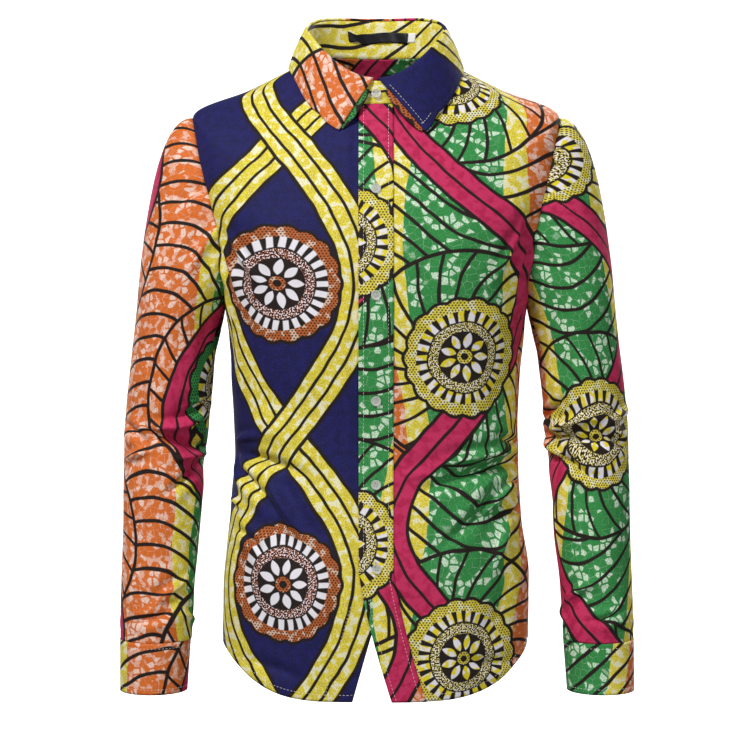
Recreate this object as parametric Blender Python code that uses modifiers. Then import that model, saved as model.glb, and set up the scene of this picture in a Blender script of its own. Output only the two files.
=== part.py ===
"""A man's long-sleeved button shirt, worn with no wearer: thin hollow walls, piece by piece.

Sizes are in millimetres and are turned into metres when a mesh is made. X runs to the wearer's
left, the front faces -Y, and the origin lies between the two points where neck and shoulder meet.
"""

import math
from collections import namedtuple

import bpy
import bmesh
import numpy as np
from mathutils import Matrix, Vector

MM = 0.001

# Walls and gaps
CLOTH_WALL = 1.2
BAND_WALL = 1.0
COLLAR_WALL = 1.6
CUFF_WALL = 1.8
TRIM_WALL = 0.8
SEAM_GAP = 0.3
ARMHOLE_GAP = 0.8
UNDERARM_GAP = 1.4
LAYER_GAP = 0.5

# Front fastening: how far each front swings away from the centre line below the last button
BAND_WIDTH = 38.0
UNDERLAP = 16.0
UNDER_REACH = 31.0
UNDER_SLOPE = 9.0
LAST_BUTTON_Z = -563.0
LEFT_SWING = 36.0
LEFT_SWING_POWER = 1.3
RIGHT_SWING = 42.0
HEM_FRONT_Z = -710.0

# Buttons
BUTTON_RADIUS = 5.5
BUTTON_THICKNESS = 2.4
BUTTON_BEVEL = 0.4
BUTTON_SIDES = 14
BUTTON_HEIGHTS = (-150.0, -265.0, -380.0, -472.0, -563.0)
STAND_BUTTON_HEIGHT = 0.45

# Folds: each crease has a softer bank on both sides, as shares of its width and depth
BANK_DISTANCE = 1.7
BANK_DEPTH = 0.45

# Mesh steps
HEM_TO_HIP_STEPS = 5
HIP_TO_WAIST_STEPS = 6
WAIST_TO_UNDERARM_STEPS = 7
ARMHOLE_STEPS = 11
SHOULDER_STEPS = 5
FRONT_COLUMNS = 11
BACK_COLUMNS = 21
CAP_STEPS = 7
ARM_STEPS = 17
LEAF_COLUMNS = 36

# How far the armhole cuts into each panel, as an angle round the body from the side
ARMHOLE_FRONT_CUT = 23.0
ARMHOLE_BACK_CUT = 21.0

TorsoRow = namedtuple(
    "TorsoRow",
    "name z_front z_side z_back half_width front_depth back_depth corner front_rise back_rise",
)
TORSO = (
    TorsoRow("hem", HEM_FRONT_Z, -659, -676, 173.5, 114, 112, 0.82, 1.3, 1.2),
    TorsoRow("hip", -600, -590, -590, 173.5, 117, 114, 0.82, 1.0, 1.0),
    TorsoRow("low_waist", -510, -510, -510, 164.5, 110, 103, 0.82, 1.0, 1.0),
    TorsoRow("waist", -440, -440, -440, 160.5, 105, 96, 0.82, 1.0, 1.0),
    TorsoRow("ribs", -350, -350, -350, 163.5, 113, 108, 0.82, 1.0, 1.0),
    TorsoRow("underarm", -286, -274, -278, 171, 120, 117, 0.82, 1.0, 1.0),
    TorsoRow("chest", -240, -216, -223, 182, 121, 121, 0.80, 1.0, 1.0),
    TorsoRow("mid_armhole", -190, -151, -160, 197, 116, 121, 0.80, 1.0, 1.0),
    TorsoRow("upper_armhole", -155, -102, -105, 205, 108, 112, 0.82, 1.0, 1.0),
    TorsoRow("shoulder", -125, -66, -54, 207, 99, 98, 0.84, 1.0, 1.0),
    TorsoRow("mid_shoulder", -90, -33, -20, 140, 86, 82, 0.92, 1.0, 1.0),
    TorsoRow("neck", -56, 0, 8, 74, 70, 66, 1.0, 1.0, 1.0),
)
HEM, HIP, WAIST, UNDERARM, SHOULDER, NECK = 0, 1, 3, 5, 9, 11

SleeveRow = namedtuple("SleeveRow", "name z centre_x centre_y half_width half_depth")
SLEEVE = (
    SleeveRow("biceps", -304, 227.8, 8, 47.4, 65),
    SleeveRow("upper_arm", -355, 233.8, 9, 47.3, 61),
    SleeveRow("elbow", -410, 239.8, 9, 47.2, 56),
    SleeveRow("below_elbow", -460, 242.4, 4, 45.4, 53),
    SleeveRow("forearm", -530, 245.2, -5, 43.0, 48),
    SleeveRow("lower_arm", -600, 248.6, -14, 41.0, 44),
    SleeveRow("wrist", -655, 250.8, -20, 39.4, 40),
    SleeveRow("cuff_edge", -713, 252.6, -25, 37.4, 37),
)
WRIST = 6
LEFT_ARM_LEAN = 2.6
RIGHT_ARM_LEAN = 0.0

# How the sleeve leaves the armhole, as a share of the way to the biceps
LEAVES_TOP = (0.60, 0.0, 0.07)
LEAVES_FRONT = (0.50, -0.20, -0.42)
LEAVES_UNDER = (0.30, 0.0, -0.60)
LEAVES_BACK = (0.50, 0.20, -0.42)
ARRIVE_PULL = 0.65
UNDERARM_SHARE = 0.35

# Cuffs: where the ends meet, as an angle round the sleeve from its outside towards the front
CUFF_COLUMNS = 24
CUFF_START = 290.0
CUFF_OVERLAP = 32.0
CUFF_CLIMB = 45.0

# Collar stand: its top edge, and the angle before the centre front where it steps in
STAND_TOP = TorsoRow("stand_top", -30, 31, 52, 78, 69, 68, 0.99, 1.0, 0.62)
STAND_V_POWER = 2.0
STAND_STEP_IN = 24.0
STAND_STEP_SLOPE = 12.0
STAND_LIFT = CLOTH_WALL / 2.0 + SEAM_GAP + 0.1

# Collar leaf: its outer edge lies on the body, so far below the neck seam
LeafEdge = namedtuple("LeafEdge", "name along below angle")
LEFT_LEAF_EDGE = (
    LeafEdge("point", 0.0, 71.0, 21.0),
    LeafEdge("front_edge", 0.14, 36.0, 40.0),
    LeafEdge("collar_bone", 0.33, 28.0, 66.0),
    LeafEdge("shoulder", 0.5, 26.0, 88.0),
    LeafEdge("back_side", 0.78, 14.0, 135.0),
    LeafEdge("centre_back", 1.0, 10.0, 180.0),
)
RIGHT_LEAF_EDGE = (
    LeafEdge("point", 0.0, 65.0, 16.0),
    LeafEdge("front_edge", 0.14, 33.0, 38.0),
    LeafEdge("collar_bone", 0.33, 24.0, 66.0),
    LeafEdge("shoulder", 0.5, 26.0, 88.0),
    LeafEdge("back_side", 0.78, 14.0, 135.0),
    LeafEdge("centre_back", 1.0, 10.0, 180.0),
)
LEAF_RISE = 3.0
LEAF_ROLL = 3.2
LEAF_CREST = 0.45
LEAF_SHOULDER_DROP = 1.8
LEAF_CLEAR = 2.2
LEAF_BULGE = 1.8
LEAF_FRONT_GAP = 3.0

# Labels inside the back of the stand
LABEL_START = -34.0
LABEL_END = 38.6
LABEL_WIDTH = 12.0
LABEL_HEIGHT = 0.55
TAB_LENGTH = 9.0
TAB_WIDTH = 11.0

# Folds: distance round the cloth from the centre line, height, slope of the crease in degrees,
# length, half-width and depth
Fold = namedtuple("Fold", "name around z slope length width depth")
RIGHT_FRONT_FOLDS = (
    Fold("waist_upper", 122, -413, 12, 90, 17, 3.5),
    Fold("waist_main", 118, -458, 28, 150, 19, -6.0),
    Fold("waist_lower", 120, -512, 38, 140, 20, -5.0),
    Fold("armhole_drag", 172, -215, 60, 130, 18, -4.0),
    Fold("hem_wave", 70, -640, 88, 160, 26, 3.5),
)
LEFT_FRONT_FOLDS = (
    Fold("waist_upper", 135, -430, 8, 80, 17, 3.5),
    Fold("waist_main", 112, -455, 16, 170, 19, -6.0),
    Fold("waist_lower", 130, -510, 30, 110, 18, -4.5),
    Fold("armhole_drag", 170, -212, 66, 120, 18, -4.0),
    Fold("hem_wave", 95, -640, 92, 150, 26, 3.5),
)
BACK_FOLDS = (
    Fold("waist_right", -120, -455, -22, 160, 19, -6.0),
    Fold("waist_left", 118, -448, 20, 150, 19, -6.0),
    Fold("hip_right", -95, -520, -34, 130, 20, -4.5),
    Fold("hip_left", 100, -510, 38, 120, 20, -4.5),
    Fold("blade_right", -95, -230, -74, 190, 24, -4.5),
    Fold("blade_left", 98, -225, 72, 180, 24, -4.5),
    Fold("hem_wave", 10, -620, 90, 170, 30, 4.0),
)
# On a sleeve the distance round the cloth runs from its outer side towards the front
LEFT_SLEEVE_FOLDS = (
    Fold("elbow_upper", 118, -392, -14, 90, 15, -4.5),
    Fold("elbow_main", 96, -422, 12, 120, 16, -5.5),
    Fold("elbow_lower", 124, -450, 24, 90, 15, -4.0),
    Fold("wrist", 70, -612, -24, 80, 15, -3.0),
)
RIGHT_SLEEVE_FOLDS = (
    Fold("elbow_upper", 112, -398, 10, 100, 15, -4.5),
    Fold("elbow_main", 100, -430, -12, 110, 16, -5.5),
    Fold("elbow_lower", 126, -462, 18, 90, 15, -4.0),
    Fold("wrist", 80, -606, 24, 80, 15, -3.0),
)


def smooth_step(x):
    x = np.clip(x, 0.0, 1.0)
    return x * x * (3.0 - 2.0 * x)


def through_table(stations, values, at):
    """A smooth curve through a table's rows that never overshoots between two of them."""
    stations = np.asarray(stations, float)
    values = np.asarray(values, float)
    step = np.diff(stations)[:, None]
    slope = np.diff(values, axis=0) / step
    tangent = np.zeros_like(values)
    tangent[0] = slope[0]
    tangent[-1] = slope[-1]
    same = slope[:-1] * slope[1:] > 0.0
    total = np.where(same, slope[:-1] + slope[1:], 1.0)
    tangent[1:-1] = np.where(same, 2.0 * slope[:-1] * slope[1:] / total, 0.0)
    at = np.clip(np.atleast_1d(np.asarray(at, float)), stations[0], stations[-1])
    row = np.clip(np.searchsorted(stations, at, side="right") - 1, 0, len(step) - 1)
    t = ((at - stations[row]) / step[row, 0])[:, None]
    h = step[row]
    return (
        values[row] * (2 * t**3 - 3 * t**2 + 1)
        + tangent[row] * h * (t**3 - 2 * t**2 + t)
        + values[row + 1] * (3 * t**2 - 2 * t**3)
        + tangent[row + 1] * h * (t**3 - t**2)
    )


def torso_stations():
    """The distance up the side of the body of each row of the torso table."""
    height = [(row.z_front + row.z_side + row.z_back) / 3.0 for row in TORSO]
    width = [row.half_width for row in TORSO]
    steps = np.hypot(np.diff(height), np.diff(width))
    return np.concatenate([[0.0], np.cumsum(steps)])


STATIONS = torso_stations()
TORSO_VALUES = [row[1:] for row in TORSO]


def ring_point(sizes, angle):
    """A point of a body ring. The angle runs from the centre front towards the wearer's left."""
    z_front, z_side, z_back, half_width, front_depth, back_depth, corner = sizes[:7]
    front_rise, back_rise = sizes[7:]
    cosine = np.cos(angle)
    sine = np.sin(angle)
    front = cosine > 0.0
    depth = np.where(front, front_depth, back_depth)
    end_z = np.where(front, z_front, z_back)
    rise = np.where(front, front_rise, back_rise)
    x = half_width * np.sign(sine) * np.abs(sine) ** corner
    y = -depth * np.sign(cosine) * np.abs(cosine) ** corner
    z = z_side + (end_z - z_side) * smooth_step(np.abs(cosine) ** rise)
    return np.stack([x, y, z], axis=-1)


def torso_sizes(station):
    return through_table(STATIONS, TORSO_VALUES, station)[0]


def torso_at(station, centre, distances):
    """Points at distances round the cloth from the centre front (0) or the centre back (180)."""
    sizes = torso_sizes(station)
    turn = np.radians(np.linspace(-95.0, 95.0, 381))
    sense = 1.0 if centre == 0 else -1.0
    ring = ring_point(sizes, math.radians(centre) + sense * turn)
    lengths = np.concatenate([[0.0], np.cumsum(np.linalg.norm(np.diff(ring, axis=0), axis=1))])
    lengths -= np.interp(0.0, turn, lengths)
    angle = np.interp(distances, lengths, turn)
    return ring_point(sizes, math.radians(centre) + sense * angle)


def distance_to(station, centre, angle_degrees):
    """How far round the cloth from the centre line an angle lies."""
    sizes = torso_sizes(station)
    turn = np.radians(np.linspace(0.0, angle_degrees, 200))
    sense = 1.0 if centre == 0 else -1.0
    ring = ring_point(sizes, math.radians(centre) + sense * turn)
    return float(np.linalg.norm(np.diff(ring, axis=0), axis=1).sum())


def panel_rows():
    """(station, share of the armhole's cut) of each row of a panel, from the hem to the neck."""
    rows = []
    legs = (
        (HEM, HIP, HEM_TO_HIP_STEPS),
        (HIP, WAIST, HIP_TO_WAIST_STEPS),
        (WAIST, UNDERARM, WAIST_TO_UNDERARM_STEPS),
    )
    for start, end, steps in legs:
        for step in range(steps):
            rows.append((STATIONS[start] + (STATIONS[end] - STATIONS[start]) * step / steps, 0.0))
    for step in range(ARMHOLE_STEPS + 1):
        turn = math.pi * step / ARMHOLE_STEPS
        share = (1.0 - math.cos(turn)) / 2.0
        station = STATIONS[UNDERARM] + (STATIONS[SHOULDER] - STATIONS[UNDERARM]) * share
        rows.append((station, math.sin(turn)))
    for step in range(1, SHOULDER_STEPS + 1):
        share = step / SHOULDER_STEPS
        rows.append((STATIONS[SHOULDER] + (STATIONS[NECK] - STATIONS[SHOULDER]) * share, 0.0))
    return rows


PANEL_ROWS = panel_rows()
FIRST_ARMHOLE_ROW = HEM_TO_HIP_STEPS + HIP_TO_WAIST_STEPS + WAIST_TO_UNDERARM_STEPS


def below_last_button(z):
    return np.clip((LAST_BUTTON_Z - z) / (LAST_BUTTON_Z - HEM_FRONT_Z), 0.0, 1.0)


def edge_angle(centre, share):
    cut = ARMHOLE_FRONT_CUT if centre == 0 else ARMHOLE_BACK_CUT
    return 90.0 - cut * share


def grid_normals(grid, closed=False):
    """Unit normals of a grid of points, rows by columns."""
    across = np.gradient(grid, axis=1)
    if closed:
        across = (np.roll(grid, -1, axis=1) - np.roll(grid, 1, axis=1)) / 2.0
    along = np.gradient(grid, axis=0)
    normal = np.cross(across, along)
    return normal / np.maximum(np.linalg.norm(normal, axis=2, keepdims=True), 1e-9)


def fold_height(folds, around, z):
    """How far the folds move the cloth along its normal: a crease with a soft bank on each side."""
    height = np.zeros_like(around)
    for fold in folds:
        slope = math.radians(fold.slope)
        along = (around - fold.around) * math.cos(slope) + (z - fold.z) * math.sin(slope)
        across = (z - fold.z) * math.cos(slope) - (around - fold.around) * math.sin(slope)
        taper = np.clip(1.0 - (2.0 * along / fold.length) ** 2, 0.0, 1.0) ** 2
        shape = np.exp(-((across / fold.width) ** 2))
        for side in (-1.0, 1.0):
            bank = across / fold.width - side * BANK_DISTANCE
            shape = shape - BANK_DEPTH * np.exp(-(bank**2))
        height += fold.depth * taper * shape
    return height


def front_panel(start_at, folds, inward):
    """The wearer's left front as a grid, or the right one before it is mirrored.

    start_at gives the distance of the front edge from the centre front at a height. The first
    columns keep the width of the placket band, so that the band can be made from them.
    """
    rows = []
    distances = []
    for station, share in PANEL_ROWS:
        z_front = torso_sizes(station)[0]
        start = start_at(z_front)
        end = distance_to(station, 0, edge_angle(0, share)) - SEAM_GAP / 2.0
        rest = np.linspace(start + BAND_WIDTH, end, FRONT_COLUMNS - 1)
        across = np.concatenate([[start, start + BAND_WIDTH / 2.0], rest])
        rows.append(torso_at(station, 0, across))
        distances.append(across)
    grid = np.array(rows)
    distances = np.array(distances)
    normals = grid_normals(grid)
    height = fold_height(folds, distances, grid[:, :, 2]) + inward(distances)
    return grid + normals * height[:, :, None], normals


def left_start(z):
    return -BAND_WIDTH / 2.0 + LEFT_SWING * below_last_button(z) ** LEFT_SWING_POWER


def right_start(z):
    return -UNDERLAP + RIGHT_SWING * below_last_button(z)


def under_left_front(distances):
    """The right front steps in by one layer where the left front lies over it."""
    return -(CLOTH_WALL + LAYER_GAP) * smooth_step((UNDER_REACH - distances) / UNDER_SLOPE)


def stays_out(distances):
    return np.zeros_like(distances)


def back_panel():
    rows = []
    distances = []
    for station, share in PANEL_ROWS:
        end = distance_to(station, 180, edge_angle(180, share)) - SEAM_GAP / 2.0
        across = np.linspace(-end, end, BACK_COLUMNS)
        rows.append(torso_at(station, 180, across))
        distances.append(across)
    grid = np.array(rows)
    distances = np.array(distances)
    normals = -grid_normals(grid)
    height = fold_height(BACK_FOLDS, distances, grid[:, :, 2])
    return grid + normals * height[:, :, None]


def armhole_loop(front, back):
    """Points of a left armhole, from the edges of its two panels: shoulder, front, underarm, back."""
    rows = slice(FIRST_ARMHOLE_ROW, FIRST_ARMHOLE_ROW + ARMHOLE_STEPS + 1)
    down_front = front[rows, -1][::-1].copy()
    up_back = back[rows, -1].copy()
    down_front[0] = (down_front[0] + up_back[-1]) / 2.0
    down_front[-1] = (down_front[-1] + up_back[0]) / 2.0
    return np.concatenate([down_front, up_back[1:-1]])


def loop_angles(loop):
    """The angle round the sleeve at which each armhole point arrives: 0 outside, 90 front."""
    half = ARMHOLE_STEPS
    closed = np.concatenate([loop, loop[:1]])
    lengths = np.concatenate([[0.0], np.cumsum(np.linalg.norm(np.diff(closed, axis=0), axis=1))])
    front = 180.0 * lengths[: half + 1] / lengths[half]
    back = 180.0 + 180.0 * (lengths[half:-1] - lengths[half]) / (lengths[-1] - lengths[half])
    return np.radians(np.concatenate([front, back[1:]]))


SLEEVE_DEPTHS = [-row.z for row in SLEEVE]
SLEEVE_VALUES = [row[2:] for row in SLEEVE]


def sleeve_ring(z, angles, lean, outward=0.0):
    centre_x, centre_y, half_width, half_depth = through_table(SLEEVE_DEPTHS, SLEEVE_VALUES, -z)[0]
    centre_x = centre_x + lean * (SLEEVE[0].z - z) / (SLEEVE[0].z - SLEEVE[-1].z)
    x = centre_x + (half_width + outward) * np.cos(angles)
    y = centre_y - (half_depth + outward) * np.sin(angles)
    return np.stack([x, y, np.full_like(angles, z)], axis=-1)


def leaving_directions(angles):
    top = np.clip(np.cos(angles), 0.0, 1.0) ** 2
    under = np.clip(-np.cos(angles), 0.0, 1.0) ** 2
    front = np.where(np.sin(angles) > 0.0, np.sin(angles) ** 2, 0.0)
    back = np.where(np.sin(angles) < 0.0, np.sin(angles) ** 2, 0.0)
    return (
        top[:, None] * np.array(LEAVES_TOP)
        + under[:, None] * np.array(LEAVES_UNDER)
        + front[:, None] * np.array(LEAVES_FRONT)
        + back[:, None] * np.array(LEAVES_BACK)
    )


def sleeve(loop, lean, folds):
    """A left sleeve: curves from the armhole to the biceps ring, then rings to the wrist."""
    angles = loop_angles(loop)
    leaves = leaving_directions(angles)
    start = loop + leaves / np.linalg.norm(leaves, axis=1, keepdims=True) * ARMHOLE_GAP
    start[:, 0] += UNDERARM_GAP * np.clip(UNDERARM_SHARE - np.cos(angles), 0.0, 1.0)
    biceps_z = SLEEVE[0].z
    end = sleeve_ring(biceps_z, angles, lean)
    arm = sleeve_ring(biceps_z - 20.0, angles, lean) - end
    arrives = arm / np.linalg.norm(arm, axis=1, keepdims=True)
    reach = np.linalg.norm(end - start, axis=1, keepdims=True)
    rows = []
    for step in range(CAP_STEPS):
        t = step / CAP_STEPS
        rows.append(
            start * (2 * t**3 - 3 * t**2 + 1)
            + leaves * reach * (t**3 - 2 * t**2 + t)
            + end * (3 * t**2 - 2 * t**3)
            + arrives * reach * ARRIVE_PULL * (t**3 - t**2)
        )
    wrist_z = SLEEVE[WRIST].z
    for z in np.linspace(biceps_z, wrist_z, ARM_STEPS + 1):
        rows.append(sleeve_ring(z, angles, lean))
    grid = np.array(rows)
    sizes = through_table(SLEEVE_DEPTHS, SLEEVE_VALUES, -grid[:, :, 2].ravel())
    radius = ((sizes[:, 2] + sizes[:, 3]) / 2.0).reshape(grid.shape[:2])
    around = radius * angles[None, :]
    normals = grid_normals(grid, closed=True)
    height = fold_height(folds, around, grid[:, :, 2])
    return grid + normals * height[:, :, None]


def cuff(lean):
    """A left cuff: a strip once round the wrist, whose outer end climbs over the inner one."""
    turns = np.linspace(0.0, 360.0 + CUFF_OVERLAP, CUFF_COLUMNS + 1)
    angles = np.radians(CUFF_START + turns)
    climb = (CUFF_WALL + LAYER_GAP) * smooth_step((turns - 360.0 + CUFF_CLIMB) / CUFF_CLIMB)
    top = SLEEVE[WRIST].z - SEAM_GAP
    rows = []
    for z in np.linspace(top, SLEEVE[-1].z, 4):
        rows.append(sleeve_ring(z, angles, lean, climb))
    return np.array(rows)


def neck_edge(left, back, right):
    """The top edge of the three panels, from the left front's edge round to the right one's."""
    left_top = left[-1]
    back_top = back[-1][::-1]
    right_top = mirrored(right)[-1][::-1]
    left_shoulder = (left_top[-1:] + back_top[:1]) / 2.0
    right_shoulder = (back_top[-1:] + right_top[:1]) / 2.0
    return np.concatenate(
        [left_top[:-1], left_shoulder, back_top[1:-1], right_shoulder, right_top[1:]]
    )


def edge_turns(edge):
    """The angle round the neck of each point of its edge, from the centre front to the left."""
    return np.unwrap(np.arctan2(edge[:, 0], -edge[:, 1]))


def stand_inward(angles):
    """The wearer's right end of the stand steps in under the left one."""
    past = np.degrees(angles) - (360.0 - STAND_STEP_IN)
    return (COLLAR_WALL + LAYER_GAP) * smooth_step(past / STAND_STEP_SLOPE)


def stand_top(angles):
    """The top edge of the stand: level curves round the back, and down to a V at the front."""
    ring = ring_point(STAND_TOP[1:], angles)
    cosine = np.cos(angles)
    fall = (STAND_TOP.z_side - STAND_TOP.z_front) * np.abs(cosine) ** STAND_V_POWER
    ring[:, 2] = np.where(cosine > 0.0, STAND_TOP.z_side - fall, ring[:, 2])
    return ring


def collar_stand(edge):
    """The stand rises from the neck edge, on the same columns as the panels below it."""
    angles = edge_turns(edge)
    out = np.stack([np.sin(angles), -np.cos(angles), np.zeros_like(angles)], axis=-1)
    top = stand_top(angles) - out * stand_inward(angles)[:, None]
    base = edge + np.array([0.0, 0.0, STAND_LIFT])
    return np.array([base + (top - base) * share for share in np.linspace(0.0, 1.0, 4)])


def body_at(below, angle):
    """A point on the body so far below the neck seam, and the way out from the cloth there."""
    station = STATIONS[NECK] - below
    step = 1.0
    here = ring_point(torso_sizes(station), np.radians(angle))
    beside = ring_point(torso_sizes(station), np.radians(angle + step))
    above = ring_point(torso_sizes(station + step), np.radians(angle))
    normal = np.cross(beside - here, above - here)
    return here, normal / np.linalg.norm(normal)


def leaf_half(edge_rows):
    """Half of the leaf, from the centre front round the wearer's left to the centre back."""
    along = [row.along for row in edge_rows]
    values = [row[2:] for row in edge_rows]
    first = math.asin(LEAF_FRONT_GAP / STAND_TOP.front_depth)
    columns = []
    for share in np.linspace(0.0, 1.0, LEAF_COLUMNS // 2 + 1):
        angle = np.array([first + (math.pi - first) * share])
        top = stand_top(angle)[0]
        out = np.array([math.sin(angle[0]), -math.cos(angle[0]), 0.0])
        below, edge_turn = through_table(along, values, share)[0]
        edge, normal = body_at(below, edge_turn)
        edge = edge + normal * (LEAF_CLEAR + COLLAR_WALL / 2.0)
        up = np.array([0.0, 0.0, 1.0])
        start = top + up * (SEAM_GAP + COLLAR_WALL / 2.0)
        crest = top + up * LEAF_RISE + out * LEAF_ROLL * LEAF_CREST
        shoulder = top + up * (LEAF_RISE - LEAF_SHOULDER_DROP) + out * LEAF_ROLL
        column = [start, crest, shoulder]
        for step in (1, 2, 3):
            part = step / 3.0
            swell = LEAF_BULGE * math.sin(math.pi * part)
            column.append(shoulder + (edge - shoulder) * part + normal * swell)
        columns.append(column)
    return np.array(columns).transpose(1, 0, 2)


def collar_leaf():
    left = leaf_half(LEFT_LEAF_EDGE)
    right = mirrored(leaf_half(RIGHT_LEAF_EDGE))[:, ::-1]
    return np.concatenate([left, right[:, 1:]], axis=1)


def on_grid(grid, row, column):
    """A point on the flat faces of a grid of points, and the way out from it."""
    i = int(min(math.floor(row), grid.shape[0] - 2))
    j = int(min(math.floor(column), grid.shape[1] - 2))
    u = row - i
    v = column - j
    lower = grid[i, j] * (1 - v) + grid[i, j + 1] * v
    upper = grid[i + 1, j] * (1 - v) + grid[i + 1, j + 1] * v
    across = grid[i, j + 1] - grid[i, j]
    normal = np.cross(across, upper - lower)
    return lower * (1 - u) + upper * u, normal / np.linalg.norm(normal)


def strip_inside_stand(stand, start_x, end_x, width, lift):
    """A flat strip on the inner face of the back of the stand, along its own columns."""
    rows = stand.shape[0] - 1
    back = stand.shape[1] // 2
    reach = BACK_COLUMNS // 2 - 4
    near = slice(back - reach, back + reach + 1)
    columns = np.arange(stand.shape[1], dtype=float)
    order = np.argsort(stand[-1, near, 0])
    ends = np.interp([start_x, end_x], stand[-1, near, 0][order], columns[near][order])
    low, high = sorted(ends)
    inner = [column for column in columns if low + 0.05 < column < high - 0.05]
    height = np.linalg.norm(stand[-1, back] - stand[0, back])
    half = width / 2.0 / height * rows
    centre = LABEL_HEIGHT * rows
    grid = []
    for row in (centre - half, centre, centre + half):
        line = []
        for column in [low] + inner + [high]:
            point, normal = on_grid(stand, row, column)
            line.append(point - normal * lift)
        grid.append(line)
    return np.array(grid)


def material(name, colour, roughness):
    made = bpy.data.materials.new(name)
    made.use_nodes = True
    shader = made.node_tree.nodes["Principled BSDF"]
    shader.inputs["Base Color"].default_value = (*colour, 1.0)
    shader.inputs["Roughness"].default_value = roughness
    shader.inputs["Metallic"].default_value = 0.0
    return made


def shell(collection, name, grid, wall, colour, roughness, closed=False):
    """One piece of cloth: a grid of points, thickened evenly on both sides."""
    rows, columns = grid.shape[:2]
    faces = []
    last = columns if closed else columns - 1
    for row in range(rows - 1):
        for column in range(last):
            beside = (column + 1) % columns
            faces.append(
                (
                    row * columns + column,
                    row * columns + beside,
                    (row + 1) * columns + beside,
                    (row + 1) * columns + column,
                )
            )
    mesh = bpy.data.meshes.new(name)
    mesh.from_pydata((grid.reshape(-1, 3) * MM).tolist(), [], faces)
    mesh.update()
    mesh.materials.append(material(name, colour, roughness))
    piece = bpy.data.objects.new(name, mesh)
    thicken = piece.modifiers.new("wall", "SOLIDIFY")
    thicken.thickness = wall * MM
    thicken.offset = 0.0
    collection.objects.link(piece)
    return piece


def button(collection, name, centre, outward, colour):
    """A small disc with a softened edge, facing along the given direction."""
    mesh = bpy.data.meshes.new(name)
    build = bmesh.new()
    bmesh.ops.create_cone(
        build,
        cap_ends=True,
        segments=BUTTON_SIDES,
        radius1=BUTTON_RADIUS * MM,
        radius2=BUTTON_RADIUS * MM,
        depth=BUTTON_THICKNESS * MM,
    )
    build.to_mesh(mesh)
    build.free()
    mesh.materials.append(material(name, colour, 0.25))
    piece = bpy.data.objects.new(name, mesh)
    turn = Vector((0.0, 0.0, 1.0)).rotation_difference(Vector(outward))
    piece.matrix_world = Matrix.Translation(Vector(centre) * MM) @ turn.to_matrix().to_4x4()
    soften = piece.modifiers.new("edge", "BEVEL")
    soften.width = BUTTON_BEVEL * MM
    soften.segments = 1
    soften.limit_method = "ANGLE"
    collection.objects.link(piece)
    return piece


def mirrored(grid):
    return grid * np.array([-1.0, 1.0, 1.0])


def front_buttons(collection, band, colour):
    """The buttons down the middle of the placket band."""
    lift = BAND_WALL / 2.0 + SEAM_GAP + BUTTON_THICKNESS / 2.0
    middle = band[:, 1, 2]
    for number, z in enumerate(BUTTON_HEIGHTS, start=1):
        row = float(np.interp(z, middle, np.arange(len(middle))))
        point, normal = on_grid(band, row, 1.0)
        button(collection, f"button_{number}", point + normal * lift, normal, colour)


def stand_button(collection, stand, colour):
    """The button at the wearer's left end of the collar stand, on the centre line."""
    lift = COLLAR_WALL / 2.0 + SEAM_GAP + BUTTON_THICKNESS / 2.0
    column = float(np.interp(0.0, stand[0, :4, 0], np.arange(4)))
    point, normal = on_grid(stand, STAND_BUTTON_HEIGHT * (stand.shape[0] - 1), column)
    button(collection, "button_collar", point + normal * lift, normal, colour)


def cuff_button(collection, name, grid, outward, colour):
    """The button in the middle of the cuff's outer end."""
    lift = CUFF_WALL / 2.0 + SEAM_GAP + BUTTON_THICKNESS / 2.0
    point, normal = on_grid(grid, 1.5, grid.shape[1] - 2.0)
    normal = normal * outward
    button(collection, name, point + normal * lift, normal, colour)


def clear_scene():
    for thing in list(bpy.data.objects):
        bpy.data.objects.remove(thing, do_unlink=True)


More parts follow.
